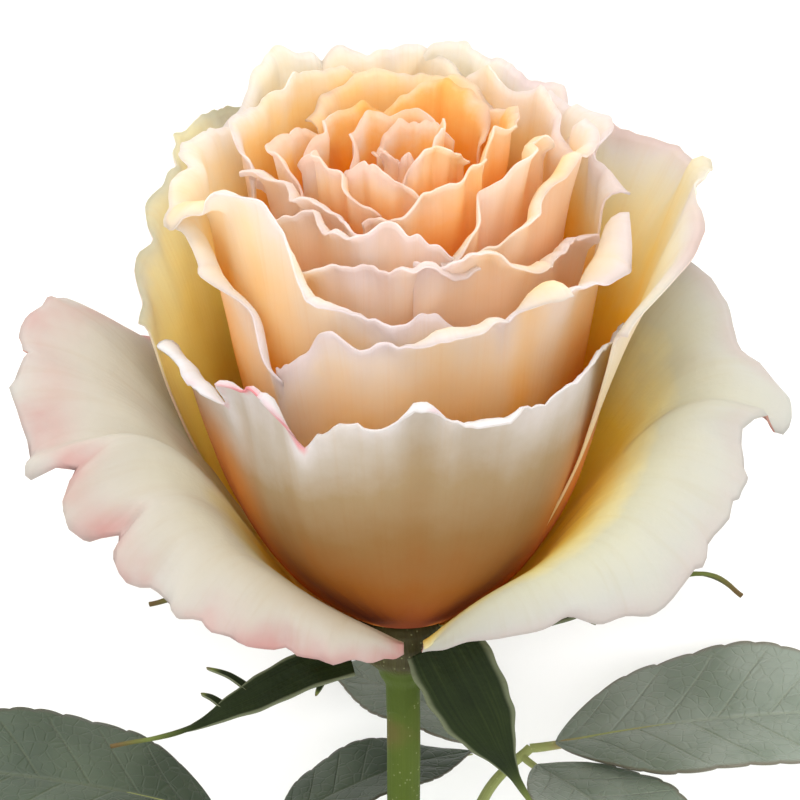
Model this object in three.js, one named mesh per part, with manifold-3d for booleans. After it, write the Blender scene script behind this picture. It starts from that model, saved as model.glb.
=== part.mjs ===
// A cut garden rose lying on its side, in millimetres.
//
// The flower is drawn upright on its own axis and laid down at the end: the rim of the receptacle
// is the origin, +x is the flower's right, +y its back and +z runs up the axis to the heart.
// Azimuths are in degrees round the axis: 0 is right, 90 is back, 180 is left and 270 is front.

import * as THREE from 'three';
import Module from 'manifold-3d';

const wasm = await Module();
wasm.setup();
const { Manifold, Mesh } = wasm;

// Driving sizes
const bloomWidth = 110;          // across the two open guard petals
const bloomHeight = 80;          // receptacle to the highest rims
const petalThickness = 0.5;
const receptacleDiameter = 14;
const receptacleHeight = 9;
const receptacleDome = 4;        // how far its middle stands above its rim
const stemDiameter = 4.8;        // just under the flower
const cutEndDiameter = 5.8;
const stemLength = 262;          // receptacle to the cut end
const prickleLength = 5;
const sepalLength = 42;
const sepalWidth = 11;
const sepalThickness = 0.7;
const leafletLength = 60;        // the end leaflet of a full-sized leaf
const leafletWidth = 28;
const leafThickness = 0.6;
const petioleDiameter = 2;
const gap = 0.3;                 // air between pieces that grow against each other

// The petal table is drawn for a bloom of this size
const drawnWidth = 110;
const drawnHeight = 80;
const widthScale = bloomWidth / drawnWidth;
const heightScale = bloomHeight / drawnHeight;

const receptacleRadius = receptacleDiameter / 2;
const petalGrid = { across: 9, along: 7 };
const bladeGrid = { across: 4, along: 8 };

const radians = THREE.MathUtils.degToRad;
const smooth = THREE.MathUtils.smoothstep;

// ---------------------------------------------------------------------------------------------
// Petals, outermost first. Each one is a fan of azimuths about `turn`, `half` degrees to each side.
// `lip` lists points [radius, height] of its rim at even steps of azimuth from one side to the
// other. `swell` and `bend` shape the way up from the foot, as the two middle points of a cubic
// curve, and are worked out from the rim where a petal doesn't give them.
// ---------------------------------------------------------------------------------------------

const guards = [
  { name: 'petal_guard_left', turn: 196, half: 64, curl: 1,
    swell: [[20, 5], [24, 7], [24, 7], [24, 7], [24, 6], [20, 5], [13, 2]],
    bend: [[30, 22], [31, 34], [31, 40], [29, 43], [28, 33], [23, 20], [16, 6]],
    lip: [[32, 28], [40, 37], [51, 48], [55, 34], [44, 15], [31, 6], [15, 2.5]] },
  { name: 'petal_guard_right', turn: -16, half: 62, curl: 1,
    swell: [[13, 2], [20, 5], [24, 6], [24, 7], [24, 7], [24, 7], [22, 6]],
    bend: [[16, 6], [23, 21], [28, 32], [30, 41], [32, 44], [33, 44], [32, 34]],
    lip: [[15, 2.5], [28, 7], [43, 13], [53, 27], [52, 41], [40, 52], [34, 40]] },
  { name: 'petal_guard_back_left', turn: 135, half: 44, curl: 2, swell: [[24, 5]], bend: [[34, 26]],
    lip: [[33, 36], [35, 46], [41, 51], [46.5, 51], [41, 49], [37, 44], [33, 34]] },
  { name: 'petal_guard_back_right', turn: 45, half: 44, curl: 2, swell: [[24, 5]], bend: [[34, 26]],
    lip: [[33, 34], [37, 44], [41, 49], [46.5, 51], [41, 51], [35, 46], [33, 36]] },
];

const cups = [
  { name: 'petal_cup_front', turn: 271, half: 86, curl: 1.5, swell: [[17, 5.5]], bend: [[29.5, 22]],
    lip: [[33, 44], [29, 41], [31, 38.5], [31, 43.5], [31, 41], [31, 43], [29.5, 40]] },
  { name: 'petal_cup_left', turn: 140, half: 42, curl: 1.5, swell: [[21, 7]],
    bend: [[29, 32], [29, 37], [29.5, 38], [29.5, 38], [29.5, 38], [29, 36], [28, 30]],
    lip: [[30, 58], [31, 67], [32, 70], [33, 71], [34.5, 71], [36, 64], [36, 50]] },
  { name: 'petal_cup_right', turn: 12, half: 44, curl: 2, swell: [[20, 7]],
    bend: [[28, 26], [29, 36], [30, 38], [30, 38], [30, 38], [29.5, 38], [29, 34]],
    lip: [[34, 51], [41, 64], [42, 67], [41, 66], [38, 66.5], [34, 68], [31, 62]] },
  { name: 'petal_cup_back_left', turn: 122, half: 28, swell: [[19.5, 9]],
    lip: [[28.5, 70], [28.5, 76], [28.7, 79.5], [28.5, 76], [28, 66]] },
  { name: 'petal_cup_back_right', turn: 63, half: 36, swell: [[19.5, 9]],
    lip: [[27.5, 68], [28.2, 74.5], [28.3, 78], [27.8, 78], [26.5, 70]] },
];

const middle = [
  { name: 'petal_mid_left', turn: 180, half: 50, swell: [[17, 8]],
    lip: [[23.5, 68], [25.5, 72], [29.5, 73], [31, 71.5], [31, 66], [27, 55], [24.5, 44]] },
  { name: 'petal_mid_back_right', turn: 28, half: 34,
    lip: [[27, 67], [26.8, 72.5], [25.2, 75], [24.8, 74], [24.3, 70]] },
  { name: 'petal_mid_back', turn: 93, half: 34,
    lip: [[23.6, 70], [25, 77.5], [25.5, 80], [25, 78], [24, 70]] },
  { name: 'petal_mid_front_right', turn: 287, half: 60, curl: 1.5, swell: [[18, 7]],
    lip: [[24.5, 46], [24, 52], [24, 52.3], [24, 54], [25, 57], [27, 59], [28, 65]] },
  { name: 'petal_mid_front_left', turn: 240, half: 56, curl: 1.5, swell: [[16, 8]],
    lip: [[26, 65], [26.5, 69], [25, 69.5], [22.8, 60], [22.5, 56], [22.3, 54.5], [22, 53]] },
];

const inner = [
  { name: 'petal_inner_front_right', turn: 314, half: 40,
    lip: [[20, 62], [20, 64], [21, 61], [23, 62], [24, 60]] },
  { name: 'petal_inner_right', turn: 340, half: 38,
    lip: [[17.5, 61], [19.2, 67], [22, 73], [24, 76.5], [23, 72]] },
  { name: 'petal_inner_front', turn: 259, half: 40,
    lip: [[20, 57], [19.5, 61], [19, 61], [19.3, 62], [18.5, 61]] },
  { name: 'petal_inner_back_left', turn: 140, half: 48,
    lip: [[21, 75], [22, 77], [22.5, 76.5], [22, 73.5], [20, 68]] },
  { name: 'petal_inner_back_right', turn: 40, half: 45,
    lip: [[20, 70], [21.5, 75], [22, 76.5], [21.5, 77], [20, 70]] },
  { name: 'petal_inner_back', turn: 88, half: 44,
    lip: [[17.5, 72], [18.5, 77], [18.5, 77.5], [18.5, 77], [17.5, 72]] },
  { name: 'petal_inner_mid_front', turn: 245, half: 46,
    lip: [[18.5, 64], [17.3, 66], [16.8, 65.5], [16.7, 66.3], [17.5, 62]] },
  { name: 'petal_inner_left', turn: 215, half: 50,
    lip: [[18, 66], [18.5, 69], [17.6, 70], [15.7, 69], [14.8, 68.3], [14.6, 66], [14.5, 62]] },
  { name: 'petal_inner_mid_right', turn: 322, half: 36,
    lip: [[16.5, 62], [15.8, 66], [15.5, 71], [17.8, 75.5], [18.5, 73]] },
];

const heart = [
  { name: 'petal_heart_left', turn: 172, half: 36,
    lip: [[13, 70], [14, 72], [15.8, 73.5], [16, 72.5], [14, 67]] },
  { name: 'petal_heart_front_right', turn: 283, half: 36,
    lip: [[13, 64.5], [13, 67.5], [13, 69.5], [13.2, 71.5], [13.5, 73]] },
  { name: 'petal_heart_front_left', turn: 222, half: 34,
    lip: [[12.2, 70], [12, 72], [11.8, 71.5], [11.6, 69], [11.4, 65.5]] },
  { name: 'petal_heart_right', turn: 0, half: 42,
    lip: [[11, 71], [12, 75.5], [13.5, 76.5], [14.2, 76], [14.5, 74]] },
  { name: 'petal_heart_back_left', turn: 140, half: 44,
    lip: [[11.5, 72], [12, 75], [12, 75], [11.5, 74], [10.8, 70]] },
  { name: 'petal_heart_back', turn: 68, half: 44,
    lip: [[11.5, 72], [12, 77], [12, 77.5], [11, 76.5], [9.6, 72]] },
  { name: 'petal_whorl_front_left', turn: 247, half: 40,
    lip: [[9.6, 69], [9.3, 71.5], [9.2, 73], [9.2, 71], [9.3, 69]] },
  { name: 'petal_whorl_front_right', turn: 300, half: 34,
    lip: [[7.4, 68], [7.5, 73.5], [7.6, 74.7], [7.8, 73.7], [8, 71]] },
  { name: 'petal_whorl_back', turn: 110, half: 74, curl: 0.5,
    lip: [[8, 72], [8, 74.5], [8, 75.5], [8, 75], [7.5, 73.5], [7, 71.5], [6.5, 68]] },
  { name: 'petal_core_outer', turn: 40, half: 110, curl: 0.4,
    lip: [[4.6, 70], [4.8, 74], [4.8, 75], [4.6, 74], [4.4, 70]] },
  { name: 'petal_core_inner', turn: 240, half: 110, curl: 0.2,
    lip: [[2.5, 69], [2.6, 71.5], [2.6, 72], [2.5, 71.5], [2.4, 69]] },
];

// A point between the entries of a list of [radius, height] pairs, at a share 0..1 of its length
function between(pairs, share) {
  const last = pairs.length - 1;
  if (last === 0) return pairs[0];
  const place = Math.min(share * last, last - 1e-6);
  const start = Math.floor(place);
  const t = place - start;
  const pick = (index) => pairs[Math.min(Math.max(index, 0), last)];
  const [before, from, to, after] = [start - 1, start, start + 1, start + 2].map(pick);
  return from.map((value, axis) => 0.5 * (2 * value + (to[axis] - before[axis]) * t
    + (2 * before[axis] - 5 * value + 4 * to[axis] - after[axis]) * t * t
    + (3 * value - before[axis] - 3 * to[axis] + after[axis]) * t * t * t));
}

const mean = (pairs, axis) => pairs.reduce((sum, pair) => sum + pair[axis], 0) / pairs.length;

// The four points of the curve that a petal follows from foot to rim, at one share of its fan
function petalCurve(petal, order, share) {
  const foot = [footRadius(order), footHeight(order)];
  const lip = between(petal.lip, share);
  const wide = mean(petal.lip, 0);
  const belly = petal.belly ?? 0.5;
  const swell = petal.swell ? between(petal.swell, share) : [0.62 * wide, 0.16 * mean(petal.lip, 1)];
  const bend = petal.bend ? between(petal.bend, share)
    : [belly * wide + (0.98 - belly) * lip[0], 0.56 * lip[1]];
  const scaled = ([radius, height]) => new THREE.Vector3(radius * widthScale, 0, height * heightScale);
  return new THREE.CubicBezierCurve3(
    new THREE.Vector3(foot[0], 0, foot[1]), scaled(swell), scaled(bend), scaled(lip));
}

// The feet stand on the receptacle's dome, which they climb from the guards inwards
const footRadius = (order) => receptacleRadius * (0.95 - 0.82 * order);
const domeHeight = (order) => receptacleDome * THREE.MathUtils.clamp(order, 0, 1) ** 0.8;
const footHeight = (order) => domeHeight(order) + gap + petalThickness;

function petalPoint(petal, order, side, rise) {
  const curve = petalCurve(petal, order, (side + 1) / 2);
  const point = curve.getPoint(rise);
  const tangent = curve.getTangent(Math.min(rise, 0.98));
  const curl = petal.curl ?? 1;
  const rim = smooth(rise, 0.7, 1);
  const radius = Math.max(point.x + tangent.z * curl * rim * rim, 0.4);
  const height = point.z - tangent.x * curl * rim * rim;
  const claw = 0.35 + 0.65 * smooth(rise, 0, 0.55);
  const azimuth = radians(petal.turn + petal.half * side * claw);
  return new THREE.Vector3(radius * Math.cos(azimuth), radius * Math.sin(azimuth), height);
}

// ---------------------------------------------------------------------------------------------
// Solids
// ---------------------------------------------------------------------------------------------

// A closed sheet of one thickness on a grid of points, rows[i][j], with its rim closed all round
function sheet(rows, thickness) {
  const across = rows.length - 1;
  const along = rows[0].length - 1;
  const clamp = (value, top) => Math.min(Math.max(value, 0), top);
  const at = (i, j) => rows[clamp(i, across)][clamp(j, along)];
  const corners = [];
  for (const face of [0.5, -0.5]) {
    for (let i = 0; i <= across; i += 1) {
      for (let j = 0; j <= along; j += 1) {
        const sideways = at(i + 1, j).clone().sub(at(i - 1, j));
        const upwards = at(i, j + 1).clone().sub(at(i, j - 1));
        const normal = sideways.cross(upwards).normalize();
        corners.push(at(i, j).clone().addScaledVector(normal, face * thickness));
      }
    }
  }
  const layer = (across + 1) * (along + 1);
  const index = (i, j, face) => face * layer + i * (along + 1) + j;
  const faces = [];
  const quad = (a, b, c, d) => faces.push(a, b, c, a, c, d);
  for (let i = 0; i < across; i += 1) {
    for (let j = 0; j < along; j += 1) {
      quad(index(i, j, 0), index(i + 1, j, 0), index(i + 1, j + 1, 0), index(i, j + 1, 0));
      quad(index(i, j, 1), index(i, j + 1, 1), index(i + 1, j + 1, 1), index(i + 1, j, 1));
    }
  }
  for (let i = 0; i < across; i += 1) {
    quad(index(i, 0, 0), index(i, 0, 1), index(i + 1, 0, 1), index(i + 1, 0, 0));
    quad(index(i, along, 0), index(i + 1, along, 0), index(i + 1, along, 1), index(i, along, 1));
  }
  for (let j = 0; j < along; j += 1) {
    quad(index(0, j, 0), index(0, j + 1, 0), index(0, j + 1, 1), index(0, j, 1));
    quad(index(across, j, 0), index(across, j, 1), index(across, j + 1, 1), index(across, j + 1, 0));
  }
  return solid(corners, faces);
}

// A closed tube along a curve; `radius` gives its radius at a share 0..1 of the length
function tube(curve, radius, sides, steps) {
  const corners = [];
  const faces = [];
  const frames = curve.computeFrenetFrames(steps, false);
  for (let step = 0; step <= steps; step += 1) {
    const centre = curve.getPointAt(step / steps);
    for (let side = 0; side < sides; side += 1) {
      const turn = 2 * Math.PI * side / sides;
      corners.push(centre.clone()
        .addScaledVector(frames.normals[step], radius(step / steps) * Math.cos(turn))
        .addScaledVector(frames.binormals[step], radius(step / steps) * Math.sin(turn)));
    }
  }
  for (let step = 0; step < steps; step += 1) {
    for (let side = 0; side < sides; side += 1) {
      const next = (side + 1) % sides;
      const [a, b] = [step * sides + side, step * sides + next];
      faces.push(a, b, b + sides, a, b + sides, a + sides);
    }
  }
  for (let side = 1; side < sides - 1; side += 1) {
    faces.push(0, side + 1, side);
    faces.push(steps * sides, steps * sides + side, steps * sides + side + 1);
  }
  return solid(corners, faces);
}

function solid(corners, faces) {
  const vertProperties = new Float32Array(corners.flatMap((corner) => corner.toArray()));
  return new Manifold(new Mesh({ numProp: 3, vertProperties, triVerts: new Uint32Array(faces) }));
}

// The largest piece of a body, after its neighbours have been cut out of it
function largest(body) {
  return body.decompose().reduce((best, piece) => (piece.volume() > best.volume() ? piece : best));
}

// ---------------------------------------------------------------------------------------------
// The bloom
// ---------------------------------------------------------------------------------------------

const pieces = [];
const kept = [];

// Adds a piece after cutting the room that earlier neighbours need out of it. `swollen` is the
// same piece grown by the gap, which later ones are cut with.
function add(name, look, body, swollen) {
  let free = body;
  for (const other of kept) {
    if (boxesMeet(free.boundingBox(), other.boundingBox())) free = free.subtract(other);
  }
  pieces.push({ name, look, body: largest(free) });
  kept.push(swollen.add(body));
}

function boxesMeet(a, b) {
  return [0, 1, 2].every((axis) => a.min[axis] <= b.max[axis] && b.min[axis] <= a.max[axis]);
}

function petalSheet(petal, order, thickness) {
  const rows = [];
  for (let i = 0; i <= petalGrid.across; i += 1) {
    const row = [];
    for (let j = 0; j <= petalGrid.along; j += 1) {
      row.push(petalPoint(petal, order, 2 * i / petalGrid.across - 1, j / petalGrid.along));
    }
    rows.push(row);
  }
  return sheet(rows, thickness);
}

function addPetals() {
  const whorls = [['guardPetal', guards], ['cupPetal', cups], ['cupPetal', middle],
    ['heartPetal', inner], ['heartPetal', heart]];
  const petals = whorls.flatMap(([look, list]) => list.map((petal) => ({ look, petal })));
  petals.forEach(({ look, petal }, place) => {
    const order = place / (petals.length - 1);
    add(petal.name, look, petalSheet(petal, order, petalThickness),
      petalSheet(petal, order, petalThickness + 2 * gap));
  });
}

// ---------------------------------------------------------------------------------------------
// The stem, with the receptacle that it swells into and its prickles, which grow as one piece
// ---------------------------------------------------------------------------------------------

const stemCurve = new THREE.CatmullRomCurve3([
  new THREE.Vector3(0, 0, -receptacleHeight * 0.6),
  new THREE.Vector3(0, 0, -stemLength * 0.16),
  new THREE.Vector3(-1.2, 0.8, -stemLength * 0.42),
  new THREE.Vector3(1.6, 1.6, -stemLength * 0.7),
  new THREE.Vector3(0, 2, -stemLength),
]);

const prickles = [
  { share: 0.3, azimuth: 335 },
  { share: 0.38, azimuth: 200 },
  { share: 0.52, azimuth: 250 },
  { share: 0.6, azimuth: 15 },
  { share: 0.7, azimuth: 185 },
  { share: 0.77, azimuth: 300 },
  { share: 0.86, azimuth: 220 },
  { share: 0.92, azimuth: 350 },
];

const stemRadius = (share) => THREE.MathUtils.lerp(stemDiameter, cutEndDiameter, share) / 2;

function receptacle(swelling) {
  const radius = receptacleRadius + swelling;
  const neck = stemRadius(0) + swelling;
  const dome = [0.8, 0.6, 0.4, 0.2, 0].map((order) => [footRadius(order), domeHeight(order)]);
  const profile = [[0, receptacleDome], ...dome, [radius, -0.2 * receptacleHeight],
    [radius * 0.9, -0.5 * receptacleHeight], [neck * 1.4, -0.85 * receptacleHeight],
    [neck, -1.1 * receptacleHeight], [0, -1.1 * receptacleHeight]];
  const steps = 20;
  const corners = [];
  const faces = [];
  const rings = profile.slice(1, -1);
  rings.forEach(([radiusHere, height]) => {
    for (let step = 0; step < steps; step += 1) {
      const turn = 2 * Math.PI * step / steps;
      corners.push(new THREE.Vector3(
        radiusHere * Math.cos(turn), radiusHere * Math.sin(turn), height));
    }
  });
  const top = corners.push(new THREE.Vector3(0, 0, profile[0][1])) - 1;
  const bottom = corners.push(new THREE.Vector3(0, 0, profile.at(-1)[1])) - 1;
  for (let step = 0; step < steps; step += 1) {
    const next = (step + 1) % steps;
    faces.push(top, step, next);
    for (let ring = 0; ring < rings.length - 1; ring += 1) {
      const [a, b] = [ring * steps + step, ring * steps + next];
      faces.push(a, b + steps, b, a, a + steps, b + steps);
    }
    const lowest = (rings.length - 1) * steps;
    faces.push(bottom, lowest + next, lowest + step);
  }
  return solid(corners, faces);
}

function prickle({ share, azimuth }) {
  const base = stemRadius(share) * 0.55;
  const place = stemCurve.getPointAt(share);
  return Manifold.cylinder(prickleLength + stemRadius(share), base, 0.25, 8)
    .scale([0.7, 1.5, 1])
    .rotate([0, 90, 0])
    .rotate([0, 12, azimuth])
    .translate(place.toArray());
}

function stemBody(swelling) {
  const shaft = tube(stemCurve, (share) => stemRadius(share) + swelling, 12, 22);
  return Manifold.union([shaft, receptacle(swelling), ...prickles.map(prickle)]);
}

// ---------------------------------------------------------------------------------------------
// Sepals and leaves
// ---------------------------------------------------------------------------------------------

// A leaf-like sheet along a curve. `outline` gives its half width at a share of the length,
// `facing` the way its upper side looks, and `fold` how far its sides lift off its midrib.
function blade({ curve, outline, facing, fold, thickness }) {
  const rows = [];
  for (let i = 0; i <= bladeGrid.across; i += 1) {
    const side = 2 * i / bladeGrid.across - 1;
    const row = [];
    for (let j = 0; j <= bladeGrid.along; j += 1) {
      const share = j / bladeGrid.along;
      const tangent = curve.getTangentAt(share);
      const across = tangent.clone().cross(facing).normalize();
      const up = across.clone().cross(tangent);
      const width = side * outline(share);
      row.push(curve.getPointAt(share)
        .addScaledVector(across, width)
        .addScaledVector(up, fold * Math.abs(width)));
    }
    rows.push(row);
  }
  return sheet(rows, thickness);
}

const vector = (point) => new THREE.Vector3(...point);

// Each sepal's midrib, as points from the side of the receptacle to the tip
const sepals = [
  { name: 'sepal_front_right', facing: [0.5, 0.2, 1],
    midrib: [[4, -6, -3], [8.5, -9, -7], [13, -10, -13], [17, -10, -20], [20, -9, -27]] },
  { name: 'sepal_front_left', facing: [0, -0.6, 1],
    midrib: [[-6, -5, -3.5], [-14, -6.5, -4], [-23, -7, -8], [-33, -6, -13], [-42, -5, -17]] },
  { name: 'sepal_right', facing: [0, 0, 1],
    midrib: [[7, 3, -3], [18, 7, -3], [32, 10, 0], [44, 12, 2], [50, 13, -1]] },
  { name: 'sepal_back_left', facing: [0, 0, 1],
    midrib: [[-6.5, 5, -3], [-16, 9, -3.5], [-27, 12, -3], [-38, 14, -3]] },
  { name: 'sepal_back', facing: [0, 0.3, 1],
    midrib: [[0, 8, -3], [2, 15, -3.5], [3.5, 21, -7], [5, 24, -13], [6, 25, -20]] },
];
const drawnSepal = 42;

function sepalBody({ midrib, facing }, swelling) {
  const foot = vector(midrib[0]);
  const reach = sepalLength / drawnSepal;
  const points = midrib.map((point) => vector(point).sub(foot).multiplyScalar(reach).add(foot));
  const outward = new THREE.Vector3(foot.x, foot.y, 0).normalize();
  const seat = receptacleRadius - Math.hypot(foot.x, foot.y) + gap + sepalThickness;
  points.forEach((point) => point.addScaledVector(outward, seat));
  const outline = (share) => swelling + 0.3
    + sepalWidth / 2 * Math.sin(Math.PI * (0.24 + 0.76 * share)) ** 0.8 * (1 - 0.45 * share);
  return blade({ curve: new THREE.CatmullRomCurve3(points), outline, facing: vector(facing),
    fold: 0.25, thickness: sepalThickness + 2 * swelling });
}

// Each leaf's stalk runs from the stem to the joint of its end leaflet. Its leaflets grow from a
// share of the stalk, `toward` a direction, and `size` is their length as a share of the end one.
const leaves = [
  { name: 'leaf_upper_right',
    stalk: [[0, 0, -58], [7, 4, -44], [12.5, 8, -31], [19, 12, -25.5]],
    leaflets: [
      { share: 1, toward: [56, 3, 6], facing: [0, -0.3, 1], size: 1, droop: 3 },
      { share: 0.96, toward: [16, -22, -4], facing: [0.1, -0.2, 1], size: 0.75, droop: 2 },
      { share: 0.94, toward: [-17, 9, 6], facing: [0.2, -0.3, 1], size: 0.55, droop: 2 },
    ] },
  { name: 'leaf_upper_left',
    stalk: [[0, 0, -92], [-8, 2, -68], [-17, 4, -45], [-24, 5, -34]],
    leaflets: [
      { share: 1, toward: [-56, 6, 8], facing: [0, -0.3, 1], size: 0.95, droop: 3 },
      { share: 0.96, toward: [-16, -24, -3], facing: [-0.1, -0.2, 1], size: 0.75, droop: 2 },
      { share: 0.94, toward: [27, 14, 8], facing: [-0.1, -0.4, 1], size: 0.62, droop: 3 },
    ] },
  { name: 'leaf_lower_right',
    stalk: [[0, 0, -150], [12, 5, -132], [24, 10, -118], [38, 14, -107]],
    leaflets: [
      { share: 1, toward: [30, 3, 30], facing: [0, -1, 0.1], size: 0.95, droop: 2 },
      { share: 0.95, toward: [34, 2, -20], facing: [0.1, -1, 0], size: 0.78, droop: 2 },
      { share: 0.93, toward: [-12, 3, 34], facing: [0, -1, 0.1], size: 0.78, droop: 2 },
      { share: 0.55, toward: [26, 3, -28], facing: [0.1, -1, 0], size: 0.6, droop: 1 },
      { share: 0.53, toward: [-4, 3, 32], facing: [0, -1, 0.1], size: 0.55, droop: 1 },
    ] },
];

function leafBody({ stalk, leaflets }) {
  const start = stemPoint(stalk[0][2]);
  const points = stalk.map((point) => vector(point));
  points[0].copy(start);
  const stalkCurve = new THREE.CatmullRomCurve3(points.map(raised));
  const radius = petioleDiameter / 2;
  const rib = tube(stalkCurve, (share) => radius * (1.15 - 0.35 * share), 8, 12);
  const blades = leaflets.map((leaflet) => leafletBody(leaflet, stalkCurve));
  return Manifold.union([rib, ...blades.flat()]);
}

// A leaflet on a short stalk of its own, both reaching into the leaf's stalk
function leafletBody({ share, toward, facing, size, droop }, stalkCurve) {
  const joint = stalkCurve.getPointAt(share);
  const direction = vector(toward).normalize();
  const length = leafletLength * size;
  const upwards = vector(facing).normalize();
  const along = (distance, drop) => raised(joint.clone()
    .addScaledVector(direction, distance)
    .addScaledVector(upwards, -drop));
  const stub = tube(new THREE.LineCurve3(joint, along(6, 0)), () => petioleDiameter * 0.34, 6, 2);
  const curve = new THREE.CatmullRomCurve3(
    [along(4, 0), along(0.35 * length, -1), along(0.7 * length, 0), along(length, droop)]);
  const outline = (t) => 0.3 + leafletWidth / 2 * size * Math.sin(Math.PI * t ** 0.85) ** 0.8;
  return [stub, blade({ curve, outline, facing: upwards, fold: 0.12, thickness: leafThickness })];
}

function stemPoint(height) {
  const share = height / -stemLength;
  return stemCurve.getPointAt(THREE.MathUtils.clamp(share, 0, 1));
}

// ---------------------------------------------------------------------------------------------
// Laying it down: it rests on the cut end of the stem and the two guard petals at the back
// ---------------------------------------------------------------------------------------------

const cornersOf = (body) => {
  const { vertProperties } = body.getMesh();
  const corners = [];
  for (let i = 0; i < vertProperties.length; i += 3) {
    corners.push(new THREE.Vector3().fromArray(vertProperties, i));
  }
  return corners;
};

function findTilt() {
  const stem = cornersOf(pieces.find(({ name }) => name === 'stem').body);
  const lowest = Math.min(...stem.map((corner) => corner.z));
  const heel = Math.max(...stem.filter(({ z }) => z < lowest + 1).map(({ y }) => y));
  const slopes = pieces.filter(({ name }) => name.startsWith('petal_guard_back'))
    .flatMap(({ body }) => cornersOf(body))
    .map(({ y, z }) => (y - heel) / (z - lowest));
  return { angle: Math.atan(Math.max(...slopes)), heel, lowest };
}

let table;

// A point moved off the table if it would be through it
function raised(point) {
  const room = gap + leafThickness + 0.35 * petioleDiameter;
  const depth = table.heel + (point.z - table.lowest) * Math.tan(table.angle) - room;
  return new THREE.Vector3(point.x, Math.min(point.y, depth), point.z);
}

addPetals();
add('stem', 'stem', stemBody(0), stemBody(gap));
for (const sepal of sepals) add(sepal.name, 'sepal', sepalBody(sepal, 0), sepalBody(sepal, gap));
table = findTilt();
for (const leaf of leaves) {
  const body = leafBody(leaf);
  add(leaf.name, 'leaf', body, body);
}

// ---------------------------------------------------------------------------------------------
// The scene
// ---------------------------------------------------------------------------------------------

const looks = {
  guardPetal: { color: 0xf3e8c8, roughness: 0.6, metalness: 0 },
  cupPetal: { color: 0xf5d3ac, roughness: 0.55, metalness: 0 },
  heartPetal: { color: 0xf6b070, roughness: 0.55, metalness: 0 },
  stem: { color: 0x6b7a32, roughness: 0.5, metalness: 0 },
  sepal: { color: 0x3a4320, roughness: 0.6, metalness: 0 },
  leaf: { color: 0x5b6b58, roughness: 0.5, metalness: 0 },
};

const flower = new THREE.Group();
for (const { name, look, body } of pieces) {
  const { vertProperties, triVerts } = body.getMesh();
  const geometry = new THREE.BufferGeometry();
  geometry.setAttribute('position', new THREE.BufferAttribute(vertProperties, 3));
  geometry.setIndex(new THREE.BufferAttribute(triVerts, 1));
  geometry.computeVertexNormals();
  const mesh = new THREE.Mesh(geometry, new THREE.MeshStandardMaterial(looks[look]));
  mesh.name = name;
  flower.add(mesh);
}

// On its back, with the flower's front up, the heart toward +Y and its lowest point on z = 0
flower.rotation.x = table.angle - Math.PI / 2;
const group = new THREE.Group();
group.add(flower);
group.updateMatrixWorld(true);
const box = new THREE.Box3().setFromObject(group, true);
flower.position.set(-(box.min.x + box.max.x) / 2, -(box.min.y + box.max.y) / 2, -box.min.z);

export default group;
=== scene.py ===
import math

import bmesh
import bpy
from mathutils import Matrix, Vector, noise


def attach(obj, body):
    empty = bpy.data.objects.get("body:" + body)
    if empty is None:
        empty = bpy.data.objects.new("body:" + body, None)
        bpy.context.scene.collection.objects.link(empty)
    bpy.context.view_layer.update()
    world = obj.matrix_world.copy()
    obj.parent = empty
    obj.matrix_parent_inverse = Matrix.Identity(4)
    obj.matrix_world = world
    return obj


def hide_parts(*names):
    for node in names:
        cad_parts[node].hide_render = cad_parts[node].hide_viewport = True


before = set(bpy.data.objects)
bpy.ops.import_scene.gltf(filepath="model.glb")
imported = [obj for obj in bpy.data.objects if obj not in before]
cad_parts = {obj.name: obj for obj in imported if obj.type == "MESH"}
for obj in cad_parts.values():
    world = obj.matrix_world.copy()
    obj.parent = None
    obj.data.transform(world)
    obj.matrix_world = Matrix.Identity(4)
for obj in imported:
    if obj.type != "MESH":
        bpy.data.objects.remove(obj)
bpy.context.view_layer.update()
mm = 0.001

# How the flower lies. It is shaped upright on its own axis, in millimetres: x to its right,
# y to its back, z up the axis from the receptacle's rim. Azimuths are 0 right, 90 back, 270 front.
pose = {
    "domeHeight": 4.0,          # the receptacle's top above its rim, the stem node's furthest point
    "stemDrop": 262.0,          # rim to cut end
    "stemSway": 2.0,            # how far the cut end lies behind the axis
    "cutDepth": 1.5,            # corners this near the far end are the cut's own
}


def uprightToRow():
    corners = [v.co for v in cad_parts["stem"].data.vertices]
    apex = max(corners, key=lambda c: c.y)
    farEnd = min(c.y for c in corners)
    ring = [c for c in corners if c.y < farEnd + pose["cutDepth"] * mm]
    foot = sum(ring, Vector()) / len(ring)
    drop = pose["stemDrop"] + pose["domeHeight"]
    tilt = math.atan2(apex.z - foot.z, apex.y - foot.y) - math.atan2(pose["stemSway"], drop)
    turn = Matrix.Rotation(tilt - math.pi / 2, 4, "X")
    place = apex - turn @ Vector((0, 0, pose["domeHeight"] * mm))
    print("flower lies tilted by %.2f degrees" % math.degrees(tilt))
    return Matrix.Translation(place) @ turn @ Matrix.Scale(mm, 4)


toRow = uprightToRow()


def smooth(low, high, value):
    t = min(1.0, max(0.0, (value - low) / (high - low)))
    return t * t * (3 - 2 * t)


def mixed(a, b, t):
    return a + (b - a) * t


def hill(value, top, width):
    # 1 at its top, nearly 0 at twice its width to each side
    return math.exp(-((value - top) / width) ** 2)


def spline(points, share):
    # a smooth curve through a list of tuples, at 0..1 of its length
    last = len(points) - 1
    place = min(share * last, last - 1e-6)
    i = int(place)
    t = place - i
    a, b, c, d = (points[min(max(k, 0), last)] for k in (i - 1, i, i + 1, i + 2))
    return tuple(0.5 * (2 * q + (r - p) * t + (2 * p - 5 * q + 4 * r - s) * t * t
                        + (3 * q - p - 3 * r + s) * t ** 3) for p, q, r, s in zip(a, b, c, d))


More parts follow.
